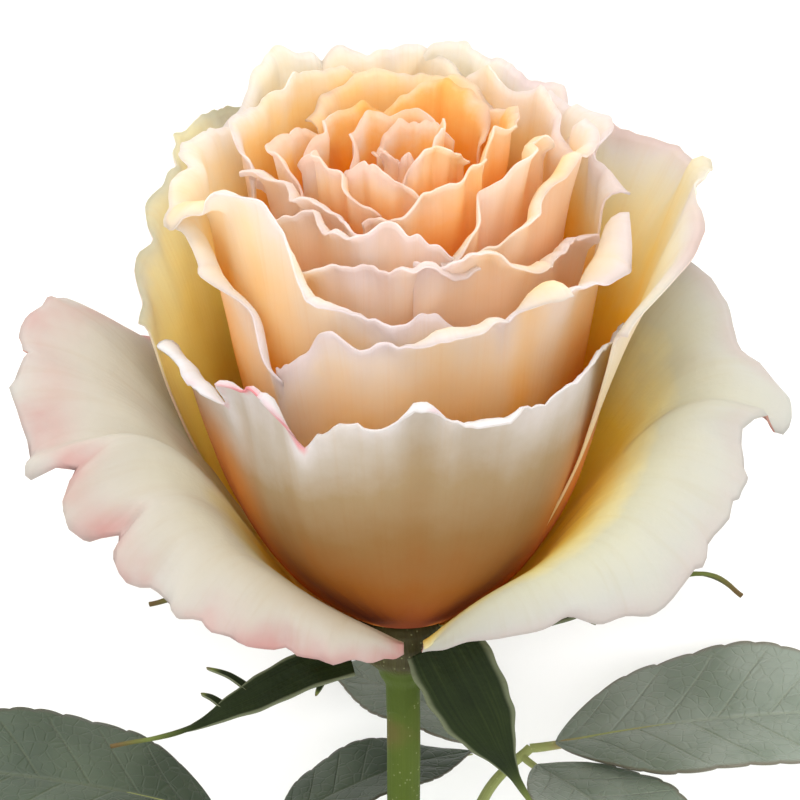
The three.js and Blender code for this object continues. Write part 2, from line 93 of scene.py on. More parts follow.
def cubic(points, t):
    a, b, c, d = (1 - t) ** 3, 3 * t * (1 - t) ** 2, 3 * t * t * (1 - t), t ** 3
    return tuple(a * p + b * q + c * r + d * s for p, q, r, s in zip(*points))


def cubicSlope(points, t):
    a, b, c = 3 * (1 - t) ** 2, 6 * t * (1 - t), 3 * t * t
    return tuple(a * (q - p) + b * (r - q) + c * (s - r) for p, q, r, s in zip(*points))


def wander(x, y, z):
    # a smooth random value of about -0.5 to 0.5, always the same at the same place
    return noise.noise(Vector((x, y, z)))


def newShape():
    bm = bmesh.new()
    bm.loops.layers.uv.new("UVMap")
    return bm


def toTable(bm, room=0.2):
    # from the upright flower to the lying one, resting on the table where it reaches it
    for vert in bm.verts:
        vert.co = toRow @ vert.co
        vert.co.z = max(vert.co.z, room * mm)


def pieceName(node):
    first, *rest = node.split("_")
    return first + "".join(word.capitalize() for word in rest)


def addObject(name, data):
    made = bpy.data.objects.new(name, data)
    bpy.context.scene.collection.objects.link(made)
    return made


def addMesh(name, bm, mats):
    mesh = bpy.data.meshes.new(name)
    bm.to_mesh(mesh)
    bm.free()
    for mat in mats:
        mesh.materials.append(mat)
    return addObject(name, mesh)


def finishPiece(name, bm, mats, node, slot):
    # the piece's place goes into its mesh, and its object stays at the origin
    piece = addMesh(name, bm, mats)
    for polygon in piece.data.polygons:
        polygon.use_smooth = True
    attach(piece, "root")
    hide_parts(node)
    return piece


def addWall(piece, thickness, inside=0):
    # half the thickness to each side; inside is the number of the other face's material
    wall = piece.modifiers.new("thickness", "SOLIDIFY")
    wall.thickness = thickness * mm
    wall.offset = 0
    wall.material_offset = inside


# Materials

def newMaterial(name):
    mat = bpy.data.materials.new(name)
    mat.use_nodes = True
    return mat, mat.node_tree.nodes["Principled BSDF"]


def setInputs(node, inputs):
    for key, value in inputs.items():
        node.inputs[key].default_value = value


def addNode(tree, kind, inputs=None, **settings):
    node = tree.nodes.new(kind)
    for key, value in settings.items():
        setattr(node, key, value)
    for key, value in (inputs or {}).items():
        if isinstance(value, bpy.types.NodeSocket):
            tree.links.new(value, node.inputs[key])
        else:
            node.inputs[key].default_value = value
    return node


# The helpers below add their node to the tree of the first socket that they are given

def ramp(factor, stops):
    node = addNode(factor.id_data, "ShaderNodeValToRGB", {"Fac": factor})
    elements = node.color_ramp.elements
    while len(elements) < len(stops):
        elements.new(0.5)
    for element, (place, *colour) in zip(elements, stops):
        element.position = place
        element.color = (*colour, 1)
    return node.outputs["Color"]


def blend(factor, a, b, mode="MIX"):
    # inputs 6 and 7 are the two colours
    a, b = (c if isinstance(c, bpy.types.NodeSocket) else (*c, 1) for c in (a, b))
    return addNode(factor.id_data, "ShaderNodeMix", {"Factor": factor, 6: a, 7: b},
                   data_type="RGBA", blend_type=mode).outputs[2]


def maths(operation, a, b=0.0):
    return addNode(a.id_data, "ShaderNodeMath", {0: a, 1: b}, operation=operation).outputs[0]


def times(a, b):
    return maths("MULTIPLY", a, b)


def total(*parts):
    # a sum of (pattern, weight)
    value = None
    for pattern, weight in parts:
        part = pattern if weight == 1 else times(pattern, weight)
        value = maths("ADD", value, part) if value else part
    return value


def swing(pattern, width):
    # a pattern of 0 to 1 as a push to both sides of nothing
    return times(maths("SUBTRACT", pattern, 0.5), width)


def fromMiddle(across):
    return maths("ABSOLUTE", maths("SUBTRACT", across, 0.5))


def band(value, low, high):
    inputs = {"Value": value, "From Min": low, "From Max": high}
    return addNode(value.id_data, "ShaderNodeMapRange", inputs,
                   interpolation_type="SMOOTHSTEP").outputs["Result"]


def surface(tree):
    # the piece's UV map and its two directions, and the place on the object
    uv = addNode(tree, "ShaderNodeUVMap", uv_map="UVMap").outputs[0]
    split = addNode(tree, "ShaderNodeSeparateXYZ", {0: uv})
    return {"uv": uv, "across": split.outputs["X"], "along": split.outputs["Y"],
            "place": addNode(tree, "ShaderNodeTexCoord").outputs["Object"]}


def noisy(place, scale, detail, roughness=0.5):
    inputs = {"Vector": place, "Scale": scale, "Detail": detail, "Roughness": roughness}
    return addNode(place.id_data, "ShaderNodeTexNoise", inputs).outputs[0]


def fibrous(uv, stretch, detail, roughness=0.5):
    # noise drawn out along the piece
    drawn = addNode(uv.id_data, "ShaderNodeMapping", {"Vector": uv, "Scale": stretch})
    return noisy(drawn.outputs[0], 1.0, detail, roughness)


def cells(place, scale, kind="F1"):
    return addNode(place.id_data, "ShaderNodeTexVoronoi", {"Vector": place, "Scale": scale},
                   feature=kind).outputs["Distance"]


def dress(shader, colour, height, relief, pattern, rough, glow=0.0):
    # relief is the bump's (strength, depth in metres), rough the least and most roughness over
    # the pattern, and glow the share of light that passes through
    tree = shader.id_data
    strength, depth = relief
    inputs = {"Height": height, "Strength": strength, "Distance": depth}
    bump = addNode(tree, "ShaderNodeBump", inputs).outputs[0]
    inputs = {"Value": pattern, "To Min": rough[0], "To Max": rough[1]}
    spread = addNode(tree, "ShaderNodeMapRange", inputs).outputs[0]
    for socket, name in ((colour, "Base Color"), (bump, "Normal"), (spread, "Roughness")):
        tree.links.new(socket, shader.inputs[name])
    if glow:
        through = addNode(tree, "ShaderNodeBsdfTranslucent", {"Color": colour, "Normal": bump})
        inputs = {0: glow, 1: shader.outputs[0], 2: through.outputs[0]}
        both = addNode(tree, "ShaderNodeMixShader", inputs)
        tree.links.new(both.outputs[0], tree.nodes["Material Output"].inputs["Surface"])


# What every petal's skin has unless its own look says otherwise
petalSkin = {
    "clouds": 45.0, "cloudShift": 0.22,         # broad patches, and how far they move the colours
    "mottle": 240.0, "mottleShift": 0.07,       # the same, small
    "veinStretch": (90.0, 2.6, 1.0), "veinBand": (0.46, 0.74), "veinTint": (0.99, 0.965, 0.93),
    "blushFrom": 0.38, "blushWhole": 0.62,      # the cloud's values where it starts and is full
    "blushSides": (0.35, 0.7),                  # the rise over which it comes in along the sides
    "fine": 1600.0, "puckers": 380.0,
    "heights": (0.3, 0.12, 0.5),                # of the veins, the fine cells and the puckers
    "relief": 0.25, "reliefDepth": 0.0004,
    "rough": (0.6, 0.78),
    "gloss": {"Specular IOR Level": 0.12, "Sheen Weight": 0.04, "Sheen Roughness": 0.5},
}
# stops are a place from foot (0) to rim (1) and its colour. blush is a width, a strength and a
# colour, sides how far from the middle a tint comes in and is full, its strength and colour, and
# glow the share of light that passes through.
petalLooks = {
    "guardInner": {
        "stops": [(0, 0.88, 0.34, 0.003), (0.32, 0.94, 0.54, 0.008), (0.48, 0.94, 0.68, 0.09),
            (0.6, 0.8, 0.71, 0.31), (0.72, 0.57, 0.57, 0.42), (1, 0.5, 0.51, 0.47)],
        "blush": (0.1, 0.35, (0.54, 0.4, 0.36)), "glow": 0.3, "veinTint": (0.98, 0.965, 0.93),
        "relief": 0.62},
    "guardLeft": {
        "stops": [(0, 0.82, 0.3, 0.003), (0.26, 0.8, 0.48, 0.03), (0.4, 0.66, 0.55, 0.21),
            (0.54, 0.55, 0.51, 0.38), (1, 0.51, 0.49, 0.45)],
        "blush": (0.19, 0.65, (0.52, 0.17, 0.15)), "glow": 0.3, "veinTint": (0.975, 0.95, 0.92),
        "relief": 0.62, "sides": (0.05, 0.4, 0.6, (0.43, 0.33, 0.22))},
    "guardOuter": {
        "stops": [(0, 0.4, 0.4, 0.1), (0.35, 0.56, 0.5, 0.27), (0.7, 0.58, 0.48, 0.36),
            (1, 0.52, 0.31, 0.25)],
        "blush": (0.35, 0.8, (0.42, 0.06, 0.05)), "glow": 0.3, "veinTint": (0.9, 0.8, 0.72),
        "relief": 0.45},
    # The front petal's outer face: its stops from the foot to about three quarters up are darker
    # than its own orange and cream, as painted shade on the lower body. Its sides lays an orange
    # tint along both sides that is partly its own colour and partly painted glow.
    "frontOuter": {
        "stops": [(0, 0.26, 0.035, 0.0005), (0.2, 0.29, 0.06, 0.001), (0.38, 0.29, 0.095, 0.007),
            (0.58, 0.28, 0.15, 0.045), (0.76, 0.35, 0.25, 0.13), (0.9, 0.5, 0.44, 0.36),
            (1, 0.66, 0.62, 0.6)],
        "blush": (0.04, 0.8, (0.68, 0.16, 0.18)), "blushFrom": 0.54, "glow": 0.32,
        "sides": (0.24, 0.44, 0.85, (0.8, 0.24, 0.009)), "relief": 0.35},
    "frontInner": {
        "stops": [(0, 0.9, 0.22, 0.002), (0.55, 0.95, 0.5, 0.01), (0.72, 0.9, 0.68, 0.26),
            (0.83, 0.8, 0.74, 0.62), (1, 0.76, 0.75, 0.76)],
        "blush": (0.03, 0.6, (0.7, 0.3, 0.32)), "blushFrom": 0.5, "glow": 0.4},
    "cupInner": {
        "stops": [(0, 0.9, 0.22, 0.002), (0.5, 0.94, 0.46, 0.004), (0.7, 0.95, 0.64, 0.09),
            (0.84, 0.88, 0.72, 0.38), (0.94, 0.8, 0.74, 0.6), (1, 0.76, 0.74, 0.72)],
        "blush": (0.05, 0.5, (0.7, 0.44, 0.42)), "glow": 0.5},
    "cupLeft": {
        "stops": [(0, 0.94, 0.3, 0.002), (0.42, 0.99, 0.66, 0.03), (0.6, 0.99, 0.82, 0.18),
            (0.8, 0.96, 0.83, 0.34), (0.92, 0.85, 0.78, 0.46), (1, 0.69, 0.69, 0.58)],
        "blush": (0.04, 0.5, (0.42, 0.42, 0.22)), "glow": 0.7},
    "cupRight": {
        "stops": [(0, 0.95, 0.22, 0.001), (0.56, 0.98, 0.42, 0.003), (0.68, 0.97, 0.58, 0.05),
            (0.79, 0.9, 0.7, 0.27), (0.9, 0.78, 0.71, 0.5), (1, 0.72, 0.7, 0.66)],
        "blush": (0.05, 0.5, (0.64, 0.45, 0.42)), "glow": 0.6},
    "cupOuter": {
        "stops": [(0, 0.66, 0.32, 0.02), (0.4, 0.76, 0.54, 0.16), (0.75, 0.76, 0.65, 0.42),
            (1, 0.78, 0.73, 0.65)],
        "blush": (0.08, 0.5, (0.62, 0.4, 0.38)), "glow": 0.5},
    "middleOuter": {
        "stops": [(0, 0.94, 0.24, 0.001), (0.54, 0.98, 0.44, 0.006), (0.66, 0.97, 0.61, 0.12),
            (0.76, 0.94, 0.73, 0.37), (0.86, 0.91, 0.79, 0.6), (0.94, 0.87, 0.8, 0.73),
            (1, 0.82, 0.78, 0.78)],
        "blush": (0.1, 0.2, (0.8, 0.6, 0.62)), "glow": 0.62},
    "middleInner": {
        "stops": [(0, 0.94, 0.2, 0.002), (0.58, 0.97, 0.43, 0.004), (0.74, 0.97, 0.59, 0.08),
            (0.86, 0.93, 0.71, 0.34), (0.95, 0.86, 0.77, 0.62), (1, 0.81, 0.78, 0.75)],
        "blush": (0.05, 0.25, (0.8, 0.6, 0.6)), "glow": 0.62},
    "innerOuter": {
        "stops": [(0, 0.96, 0.22, 0.001), (0.54, 0.97, 0.45, 0.015), (0.68, 0.96, 0.61, 0.17),
            (0.79, 0.94, 0.71, 0.4), (0.9, 0.92, 0.78, 0.62), (1, 0.86, 0.8, 0.77)],
        "blush": (0.14, 0.25, (0.84, 0.62, 0.62)), "glow": 0.64},
    "innerInner": {
        "stops": [(0, 0.95, 0.16, 0.001), (0.64, 0.97, 0.36, 0.003), (0.8, 0.96, 0.53, 0.06),
            (0.91, 0.93, 0.7, 0.34), (0.98, 0.87, 0.78, 0.66), (1, 0.84, 0.79, 0.75)],
        "blush": (0.05, 0.25, (0.84, 0.6, 0.56)), "glow": 0.64},
    "heartOuter": {
        "stops": [(0, 0.95, 0.17, 0.001), (0.66, 0.97, 0.34, 0.003), (0.8, 0.96, 0.5, 0.06),
            (0.9, 0.94, 0.64, 0.26), (0.97, 0.88, 0.75, 0.58), (1, 0.85, 0.78, 0.72)],
        "blush": (0.08, 0.35, (0.92, 0.6, 0.5)), "glow": 0.64},
    "heartInner": {
        "stops": [(0, 0.94, 0.1, 0.001), (0.72, 0.96, 0.25, 0.002), (0.87, 0.95, 0.43, 0.03),
            (0.95, 0.92, 0.6, 0.22), (1, 0.87, 0.76, 0.62)],
        "blush": (0.04, 0.3, (0.92, 0.56, 0.42)), "glow": 0.64},
}


def petalMaterial(name, look):
    look = {**petalSkin, **look}
    mat, shader = newMaterial(name)
    at = surface(mat.node_tree)
    rise = at["along"]
    cloud = noisy(at["place"], look["clouds"], 4.0)
    mottle = noisy(at["place"], look["mottle"], 5.0, 0.65)
    veins = fibrous(at["uv"], look["veinStretch"], 3.0, 0.6)
    shifted = total((rise, 1), (swing(cloud, look["cloudShift"]), 1),
                    (swing(mottle, look["mottleShift"]), 1))
    colour = blend(band(veins, *look["veinBand"]), ramp(shifted, look["stops"]),
                   look["veinTint"], "MULTIPLY")
    fromMid = fromMiddle(at["across"])
    if "sides" in look:
        low, high, strength, tint = look["sides"]
        fading = times(band(fromMid, low, high), band(rise, 0.95, 0.6))
        colour = blend(times(fading, strength), colour, tint)
    # a broken blush along the rim and the two sides
    width, strength, tint = look["blush"]
    side = times(band(fromMid, 0.5 - width * 0.4, 0.5), band(rise, *look["blushSides"]))
    edge = maths("MAXIMUM", band(rise, 1 - width, 1.0), side)
    patchy = band(cloud, look["blushFrom"], look["blushWhole"])
    colour = blend(times(times(edge, patchy), strength), colour, tint)
    # velvety cells, raised veins and puckers
    fine = noisy(at["place"], look["fine"], 1.0)
    puckers = noisy(at["place"], look["puckers"], 3.0)
    height = total(*zip((veins, fine, puckers), look["heights"]))
    dress(shader, colour, height, (look["relief"], look["reliefDepth"]), puckers, look["rough"],
          look["glow"])
    setInputs(shader, look["gloss"])
    return mat


petalMats = {name: petalMaterial(name, look) for name, look in petalLooks.items()}
print("petal materials ready")

# Petals, outermost first, in millimetres and degrees. fan is the azimuth of a petal's middle and
# the spread to each side. lip lists the rim's (radius, height) at even steps across the fan; swell
# and bend shape the way up. edge lists bumps and dips of the rim as (side, width, up, out, roll),
# and folds creases as (side, width, out, the rise where they begin), where side is -1 to 1 across
# the fan and rise 0 to 1 from foot to rim. outer and inner name a petal's own looks.
guards = {
    "guard_left": {"fan": (196, 64), "curl": 0.8, "ruffle": 1.6, "waves": 7, "fine": 1.6,
        "inner": "guardLeft", "rollRadius": 1.5, "roll": 50, "tuck": 10,
        "folds": [(0, 0.05, 2.2, 0.4), (0.085, 0.035, -3.4, 0.35), (0.16, 0.04, 1.6, 0.45),
            (0.24, 0.04, -0.8, 0.5), (-0.2, 0.08, 1.2, 0.4)],
        "edge": [(0.03, 0.035, 2.2, -2, 80), (0.085, 0.022, -3.6, 2.4, -50),
            (0.14, 0.03, 2.4, -2.2, 110), (0.2, 0.022, -2.8, 2, -50), (0.26, 0.03, 0.8, -1, 60),
            (0.32, 0.02, -0.6, 0.6, -20), (0.39, 0.025, 0.6, -1, 60), (0.45, 0.018, -1, 0.8, -20),
            (0.55, 0.03, 0.6, -1.2, 70), (0.63, 0.018, -1.2, 1, -20), (0.75, 0.025, 0.6, -1, 60),
            (-0.33, 0.08, 1, -1, 30)],
        "swell": [(20, 5), (24, 7), (24, 7), (24, 7), (24, 6), (20, 5), (13, 1.5)],
        "bend": [(30, 22), (31, 34), (31, 40), (29, 43), (28, 33), (23, 19), (16, 4.5)],
        "lip": [(32, 28), (40, 37), (51, 48), (55, 34), (44, 15), (31, 5.4), (15.5, 2)]},
    "guard_right": {"fan": (-16, 62), "curl": 0.8, "waves": 7, "fine": 1.4, "rollRadius": 1.6,
        "roll": 55,
        "folds": [(0.12, 0.035, -2.6, 0.55), (0.22, 0.05, 1.8, 0.6), (-0.22, 0.06, 0.8, 0.4),
            (0.5, 0.08, -1, 0.5)],
        "edge": [(0.225, 0.055, 5.4, -0.6, 40), (0.085, 0.04, -4.2, 0.8, -30),
            (0.34, 0.05, -2, 0.4, 0), (-0.05, 0.05, 0.8, -0.6, 20), (-0.17, 0.018, 1.2, 0.3, 0),
            (-0.3, 0.05, 1, 0.8, 0), (-0.5, 0.05, -1.2, -0.8, 30), (0.45, 0.08, -1, 0.6, 0)],
        "swell": [(13, 1.5), (20, 5), (24, 6), (24, 7), (24, 7), (24, 7), (22, 6)],
        "bend": [(16, 4.5), (23, 20), (28, 32), (30, 41), (32, 44), (33, 44), (32, 34)],
        "lip": [(15, 0.8), (28, 6.6), (43, 13), (50.5, 27), (51, 41.5), (40, 52), (34, 40)]},
    "guard_back_left": {"fan": (129, 35), "ruffle": 1.2, "roll": 35, "swell": [(24, 5)],
        "bend": [(34, 26)],
        "lip": [(33, 36), (35, 46), (41, 51), (46.5, 51), (41, 49), (37, 44), (33, 34)]},
    "guard_back_right": {"fan": (51, 35), "ruffle": 1.2, "roll": 35, "swell": [(24, 5)],
        "bend": [(34, 26)],
        "lip": [(33, 34), (37, 44), (41, 49), (46.5, 51), (41, 51), (35, 46), (33, 36)]},
}
cups = {
    # the front petal's outer look carries painted shade on its lower body
    "cup_front": {"fan": (271, 84), "outer": "frontOuter", "inner": "frontInner", "curl": 0.9,
        "ruffle": 0.5, "waves": 7, "fine": 0.6, "jag": 1.2, "sideFree": 0.15, "rollRadius": 1.6,
        "ruffleFrom": 0.8,
        "edge": [(-0.97, 0.05, 1, 0.5, 40), (-0.72, 0.05, 0, 0.4, 10), (-0.585, 0.04, 4.8, 1.4, 90),
            (-0.48, 0.065, 6.6, 0.4, 60), (-0.395, 0.03, 6.4, 1.6, 90),
            (-0.32, 0.035, -1.8, -0.8, -70), (-0.2, 0.1, 1.8, 0.2, -40),
            (0.035, 0.055, 3.8, 0.2, 110), (0.13, 0.04, 0, 0.6, -20), (0.3, 0.12, 0.4, 0.6, 30),
            (0.52, 0.05, 0.6, 0.8, 30), (0.92, 0.14, 0, 0, -65)],
        "swell": [(17, 5.5)],
        "bend": [(27.4, 22), (28.4, 22), (29.5, 22), (29.5, 22), (29.5, 22), (29.5, 22), (29, 22)],
        "lip": [(31.5, 45), (28.6, 41), (31, 38.8), (31, 42.8), (31, 43.4), (30.8, 47.6),
            (28.8, 47.5)]},
    "cup_left": {"fan": (140, 42), "curl": 1.2, "inner": "cupLeft", "rollRadius": 1.6,
        "swell": [(21, 7)],
        "edge": [(0.3, 0.04, 0.8, 0.7, 30), (0.45, 0.04, -0.6, -0.8, -20),
            (0.62, 0.05, 0.8, 0.6, 30), (0.74, 0.04, -0.8, -1, -20)],
        "bend": [(29, 32), (29, 37), (29.5, 38), (29.5, 38), (29.5, 38), (30, 36), (32, 28)],
        "lip": [(30, 58), (31, 67), (31.5, 70), (32.5, 71), (34.8, 69), (34.2, 60), (35.8, 46)]},
    "cup_right": {"fan": (12, 44), "curl": 1.8, "inner": "cupRight", "rollRadius": 1.8,
        "edge": [(-0.1, 0.08, 1.2, -0.8, 50), (0.12, 0.06, -1.5, 1, -30),
            (-0.45, 0.06, -1.2, 0.8, -20), (-0.6, 0.06, 1, -1, 30)],
        "swell": [(20, 7)],
        "bend": [(28, 26), (29, 36), (30, 38), (30, 38), (30, 38), (29.5, 38), (29, 34)],
        "lip": [(33.5, 51), (39.5, 65), (40.5, 69), (40, 68), (37, 68.5), (34, 68), (31, 62)]},
    "cup_back_left": {"fan": (122, 28), "ruffle": 1.8, "roll": 60, "swell": [(19.5, 9)],
        "lip": [(28.5, 70), (28.5, 76), (28.7, 79.5), (28.5, 76), (28, 66)]},
    "cup_back_right": {"fan": (63, 36), "ruffle": 1.8, "roll": 60, "swell": [(19.5, 9)],
        "lip": [(27.5, 68), (28.2, 74.5), (28.3, 78), (27.8, 78), (26.5, 70)]},
}
middle = {
    "mid_left": {"fan": (180, 50), "ruffle": 1.6, "waves": 6, "swell": [(17, 8)],
        "bend": [(24, 37)], "edge": [(0.3, 0.04, 0.6, 0.8, 30), (0.55, 0.04, 1, 0.8, 20)],
        "lip": [(23.5, 68), (25.5, 71), (27, 71.5), (28.6, 70.5), (28.8, 65), (26, 54),
            (23.6, 44)]},
    "mid_back_right": {"fan": (28, 34), "ruffle": 1.6, "rollRadius": 2.4,
        "lip": [(27, 67), (26.8, 72.5), (25.2, 75), (24.8, 74), (24.3, 70)]},
    "mid_back": {"fan": (93, 34), "ruffle": 2, "rollRadius": 2.4,
        "lip": [(23.6, 70), (25, 77.5), (25.5, 80), (25, 78), (24, 70)]},
    "mid_front_right": {"fan": (287, 60), "curl": 1.6, "ruffle": 1, "waves": 6, "rollRadius": 2.6,
        "roll": 75,
        "edge": [(0.42, 0.07, 3.6, 2, 90), (0.28, 0.06, -1.2, -1.2, -20),
            (-0.62, 0.08, 0.8, 0.8, 20), (0.8, 0.08, 1, 1.5, 30), (-0.1, 0.1, 1.6, 0.6, 20)],
        "swell": [(18, 7)],
        "lip": [(24.5, 46), (24, 52), (24, 52.3), (24, 54), (25, 57), (27, 59), (28, 65)]},
    "mid_front_left": {"fan": (240, 56), "curl": 1.6, "ruffle": 1.4, "waves": 6, "rollRadius": 2.4,
        "roll": 85, "swell": [(16, 8)],
        "edge": [(-0.8, 0.08, 0.5, 1.8, 50), (-0.6, 0.06, -1.2, -1.5, -20),
            (-0.42, 0.07, 1.6, 2, 60), (0.1, 0.08, 0.6, 1.2, 20)],
        "lip": [(26, 65), (26.5, 69), (25, 69.5), (22.8, 60), (22.5, 56), (22.3, 54.5), (22, 53)]},
}
inner = {
    "inner_front_right": {"fan": (314, 40),
        "lip": [(20, 62), (20, 64), (21, 61), (23, 62), (24, 60)]},
    "inner_right": {"fan": (340, 38),
        "lip": [(17.5, 61), (19.2, 67), (22, 73), (24, 76.5), (23, 72)]},
    "inner_front": {"fan": (259, 40),
        "lip": [(20, 57), (19.5, 61), (19, 61), (19.3, 62), (18.5, 61)]},
    "inner_back_left": {"fan": (140, 48),
        "lip": [(21, 75), (22, 77), (22.5, 76.5), (22, 73.5), (20, 68)]},
    "inner_back_right": {"fan": (40, 45),
        "lip": [(20, 70), (21.5, 75), (22, 76.5), (21.5, 77), (20, 70)]},
    "inner_back": {"fan": (88, 44),
        "lip": [(17.5, 72), (18.5, 77), (18.5, 77.5), (18.5, 77), (17.5, 72)]},
    "inner_mid_front": {"fan": (245, 46),
        "lip": [(18.5, 64), (17.3, 66), (16.8, 65.5), (16.7, 66.3), (17.5, 62)]},
    "inner_left": {"fan": (215, 50), "waves": 7,
        "lip": [(18, 66), (18.5, 69), (17.6, 70), (15.7, 69), (14.8, 68.3), (14.6, 66),
            (14.5, 62)]},
    "inner_mid_right": {"fan": (322, 36),
        "lip": [(16.5, 62), (15.8, 66), (15.5, 71), (17.8, 75.5), (18.5, 73)]},
}
heart = {
    "heart_left": {"fan": (172, 36),
        "lip": [(13, 70), (14, 72), (15.8, 73.5), (16, 72.5), (14, 67)]},
    "heart_front_right": {"fan": (283, 36),
        "lip": [(13, 64.5), (13, 67.5), (13, 69.5), (13.2, 71.5), (13.5, 73)]},
    "heart_front_left": {"fan": (222, 34),
        "lip": [(12.2, 70), (12, 72), (11.8, 71.5), (11.6, 69), (11.4, 65.5)]},
    "heart_right": {"fan": (0, 42),
        "lip": [(11, 71), (12, 75.5), (13.5, 76.5), (14.2, 76), (14.5, 74)]},
    "heart_back_left": {"fan": (140, 44),
        "lip": [(11.5, 72), (12, 75), (12, 75), (11.5, 74), (10.8, 70)]},
    "heart_back": {"fan": (68, 44),
        "lip": [(11.5, 72), (12, 77), (12, 77.5), (11, 76.5), (9.6, 72)]},
    "whorl_front_left": {"fan": (247, 40), "ruffle": 0.8, "rollRadius": 1.2,
        "lip": [(9.6, 69), (9.3, 71.5), (9.2, 73), (9.2, 71), (9.3, 69)]},
    "whorl_front_right": {"fan": (300, 34), "ruffle": 0.8, "rollRadius": 1.2,
        "lip": [(7.4, 68), (7.5, 73.5), (7.6, 74.7), (7.8, 73.7), (8, 71)]},
    "whorl_back": {"fan": (110, 74), "curl": 0.5, "ruffle": 0.7, "rollRadius": 1.1,
        "lip": [(8, 72), (8, 74.5), (8, 75.5), (8, 75), (7.5, 73.5), (7, 71.5), (6.5, 68)]},
    "core_outer": {"fan": (40, 110), "curl": 0.4, "ruffle": 0.5, "rollRadius": 0.8,
        "lip": [(4.6, 70), (4.8, 74), (4.8, 75), (4.6, 74), (4.4, 70)]},
    "core_inner": {"fan": (240, 110), "curl": 0.2, "ruffle": 0.3, "rollRadius": 0.6,
        "lip": [(2.5, 69), (2.6, 71.5), (2.6, 72), (2.5, 71.5), (2.4, 69)]},
}
# What a petal has unless it says otherwise
petalDefaults = {
    "roll": 80, "rollRadius": 2.0,      # how far the rim turns back, and how tightly
    "curl": 1.0,                        # how far the rim and the sides lean out
    "ruffle": 1.3, "waves": 5,          # the rim's wave, and how many there are
    "ruffleFrom": 0.76,                 # the rise where the rim's shape begins
    "fine": 1.0, "jag": 2.0,            # small crimps, and the rim's uneven height
    "sideFree": 0.8,                    # how far the sides move as the rim does
    "tuck": 0,                          # degrees that the last side's rim swings on round
    "edge": [], "folds": [],
}
petalBuild = {
    "receptacleRadius": 7.0,
    "footSpread": (0.95, 0.82),         # the first petal's foot, and how much nearer the last's is
    "gap": 0.3, "footLift": 0.5,
    "swell": (0.62, 0.16),              # the profile's lower handle, as shares of the mean lip
    "bend": (0.5, 0.48, 0.56),          # the upper one: of the mean radius, and of the lip there
    "rollLimits": (8, 210),
    "claw": 0.35, "clawRise": 0.55,     # the foot's share of the fan, and where the fan is whole
    "thickness": 0.36, "room": 0.244,
    "acrossSteps": 112, "alongSteps": 48, "rowBias": 0.85,
}
# depth, how close together across and up the petal, its own place in the noise, and the rise
# where it begins and is whole
petalWrinkles = [
    (0.25, 7.5, 5, 31, 0.95, 1),        # crimps at the rim
    (0.5, 0.8, 1.6, 9, 0.1, 0.5),       # a broad hollow and swell or two on the body
    (0.16, 2.6, 9, 17, 0.1, 0.4),       # shallow unevenness
]


def petalCurve(petal, order, share):
    # foot, two handles and lip of the profile at 0..1 across the petal
    lip = spline(petal["lip"], share)
    wide, tall = (sum(values) / len(petal["lip"]) for values in zip(*petal["lip"]))
    first, nearer = petalBuild["footSpread"]
    foot = (petalBuild["receptacleRadius"] * (first - nearer * order),
            pose["domeHeight"] * order ** 0.8 + petalBuild["gap"] + petalBuild["footLift"])
    out, up = petalBuild["swell"]
    swell = (out * wide, up * tall)
    mean, own, up = petalBuild["bend"]
    bend = (mean * wide + own * lip[0], up * lip[1])
    if "swell" in petal:
        swell = spline(petal["swell"], share)
    if "bend" in petal:
        bend = spline(petal["bend"], share)
    return foot, swell, bend, lip


def columnOf(petal, order, side, steps=12):
    # one column up a petal: its profile, where its rim starts to roll and how far
    seed = 11.7 * order * 33
    points = petalCurve(petal, order, (side + 1) / 2)
    line = [cubic(points, k / steps) for k in range(steps + 1)]
    length = sum(math.dist(p, q) for p, q in zip(line, line[1:]))
    arc = side * math.radians(petal["fan"][1]) * max(points[3][0], 8) / 10   # centimetres round
    angle = petal["roll"] * (0.85 + 1.5 * wander(arc * 0.9, 7.3, seed))
    lift = push = 0.0
    for place, width, up, out, turn in petal["edge"]:
        near = hill(side, place, width)
        lift += up * near
        push += out * near
        angle += turn * near
    least, most = petalBuild["rollLimits"]
    angle = math.radians(min(max(angle, least), most))
    radius = petal["rollRadius"]
    start = 1 - radius * math.sin(min(angle, math.pi / 2)) / length
    share = start / (start + radius * angle / length)
    return {"points": points, "angle": angle, "radius": radius, "start": start, "share": share,
            "lift": lift, "push": push, "arc": arc, "seed": seed}


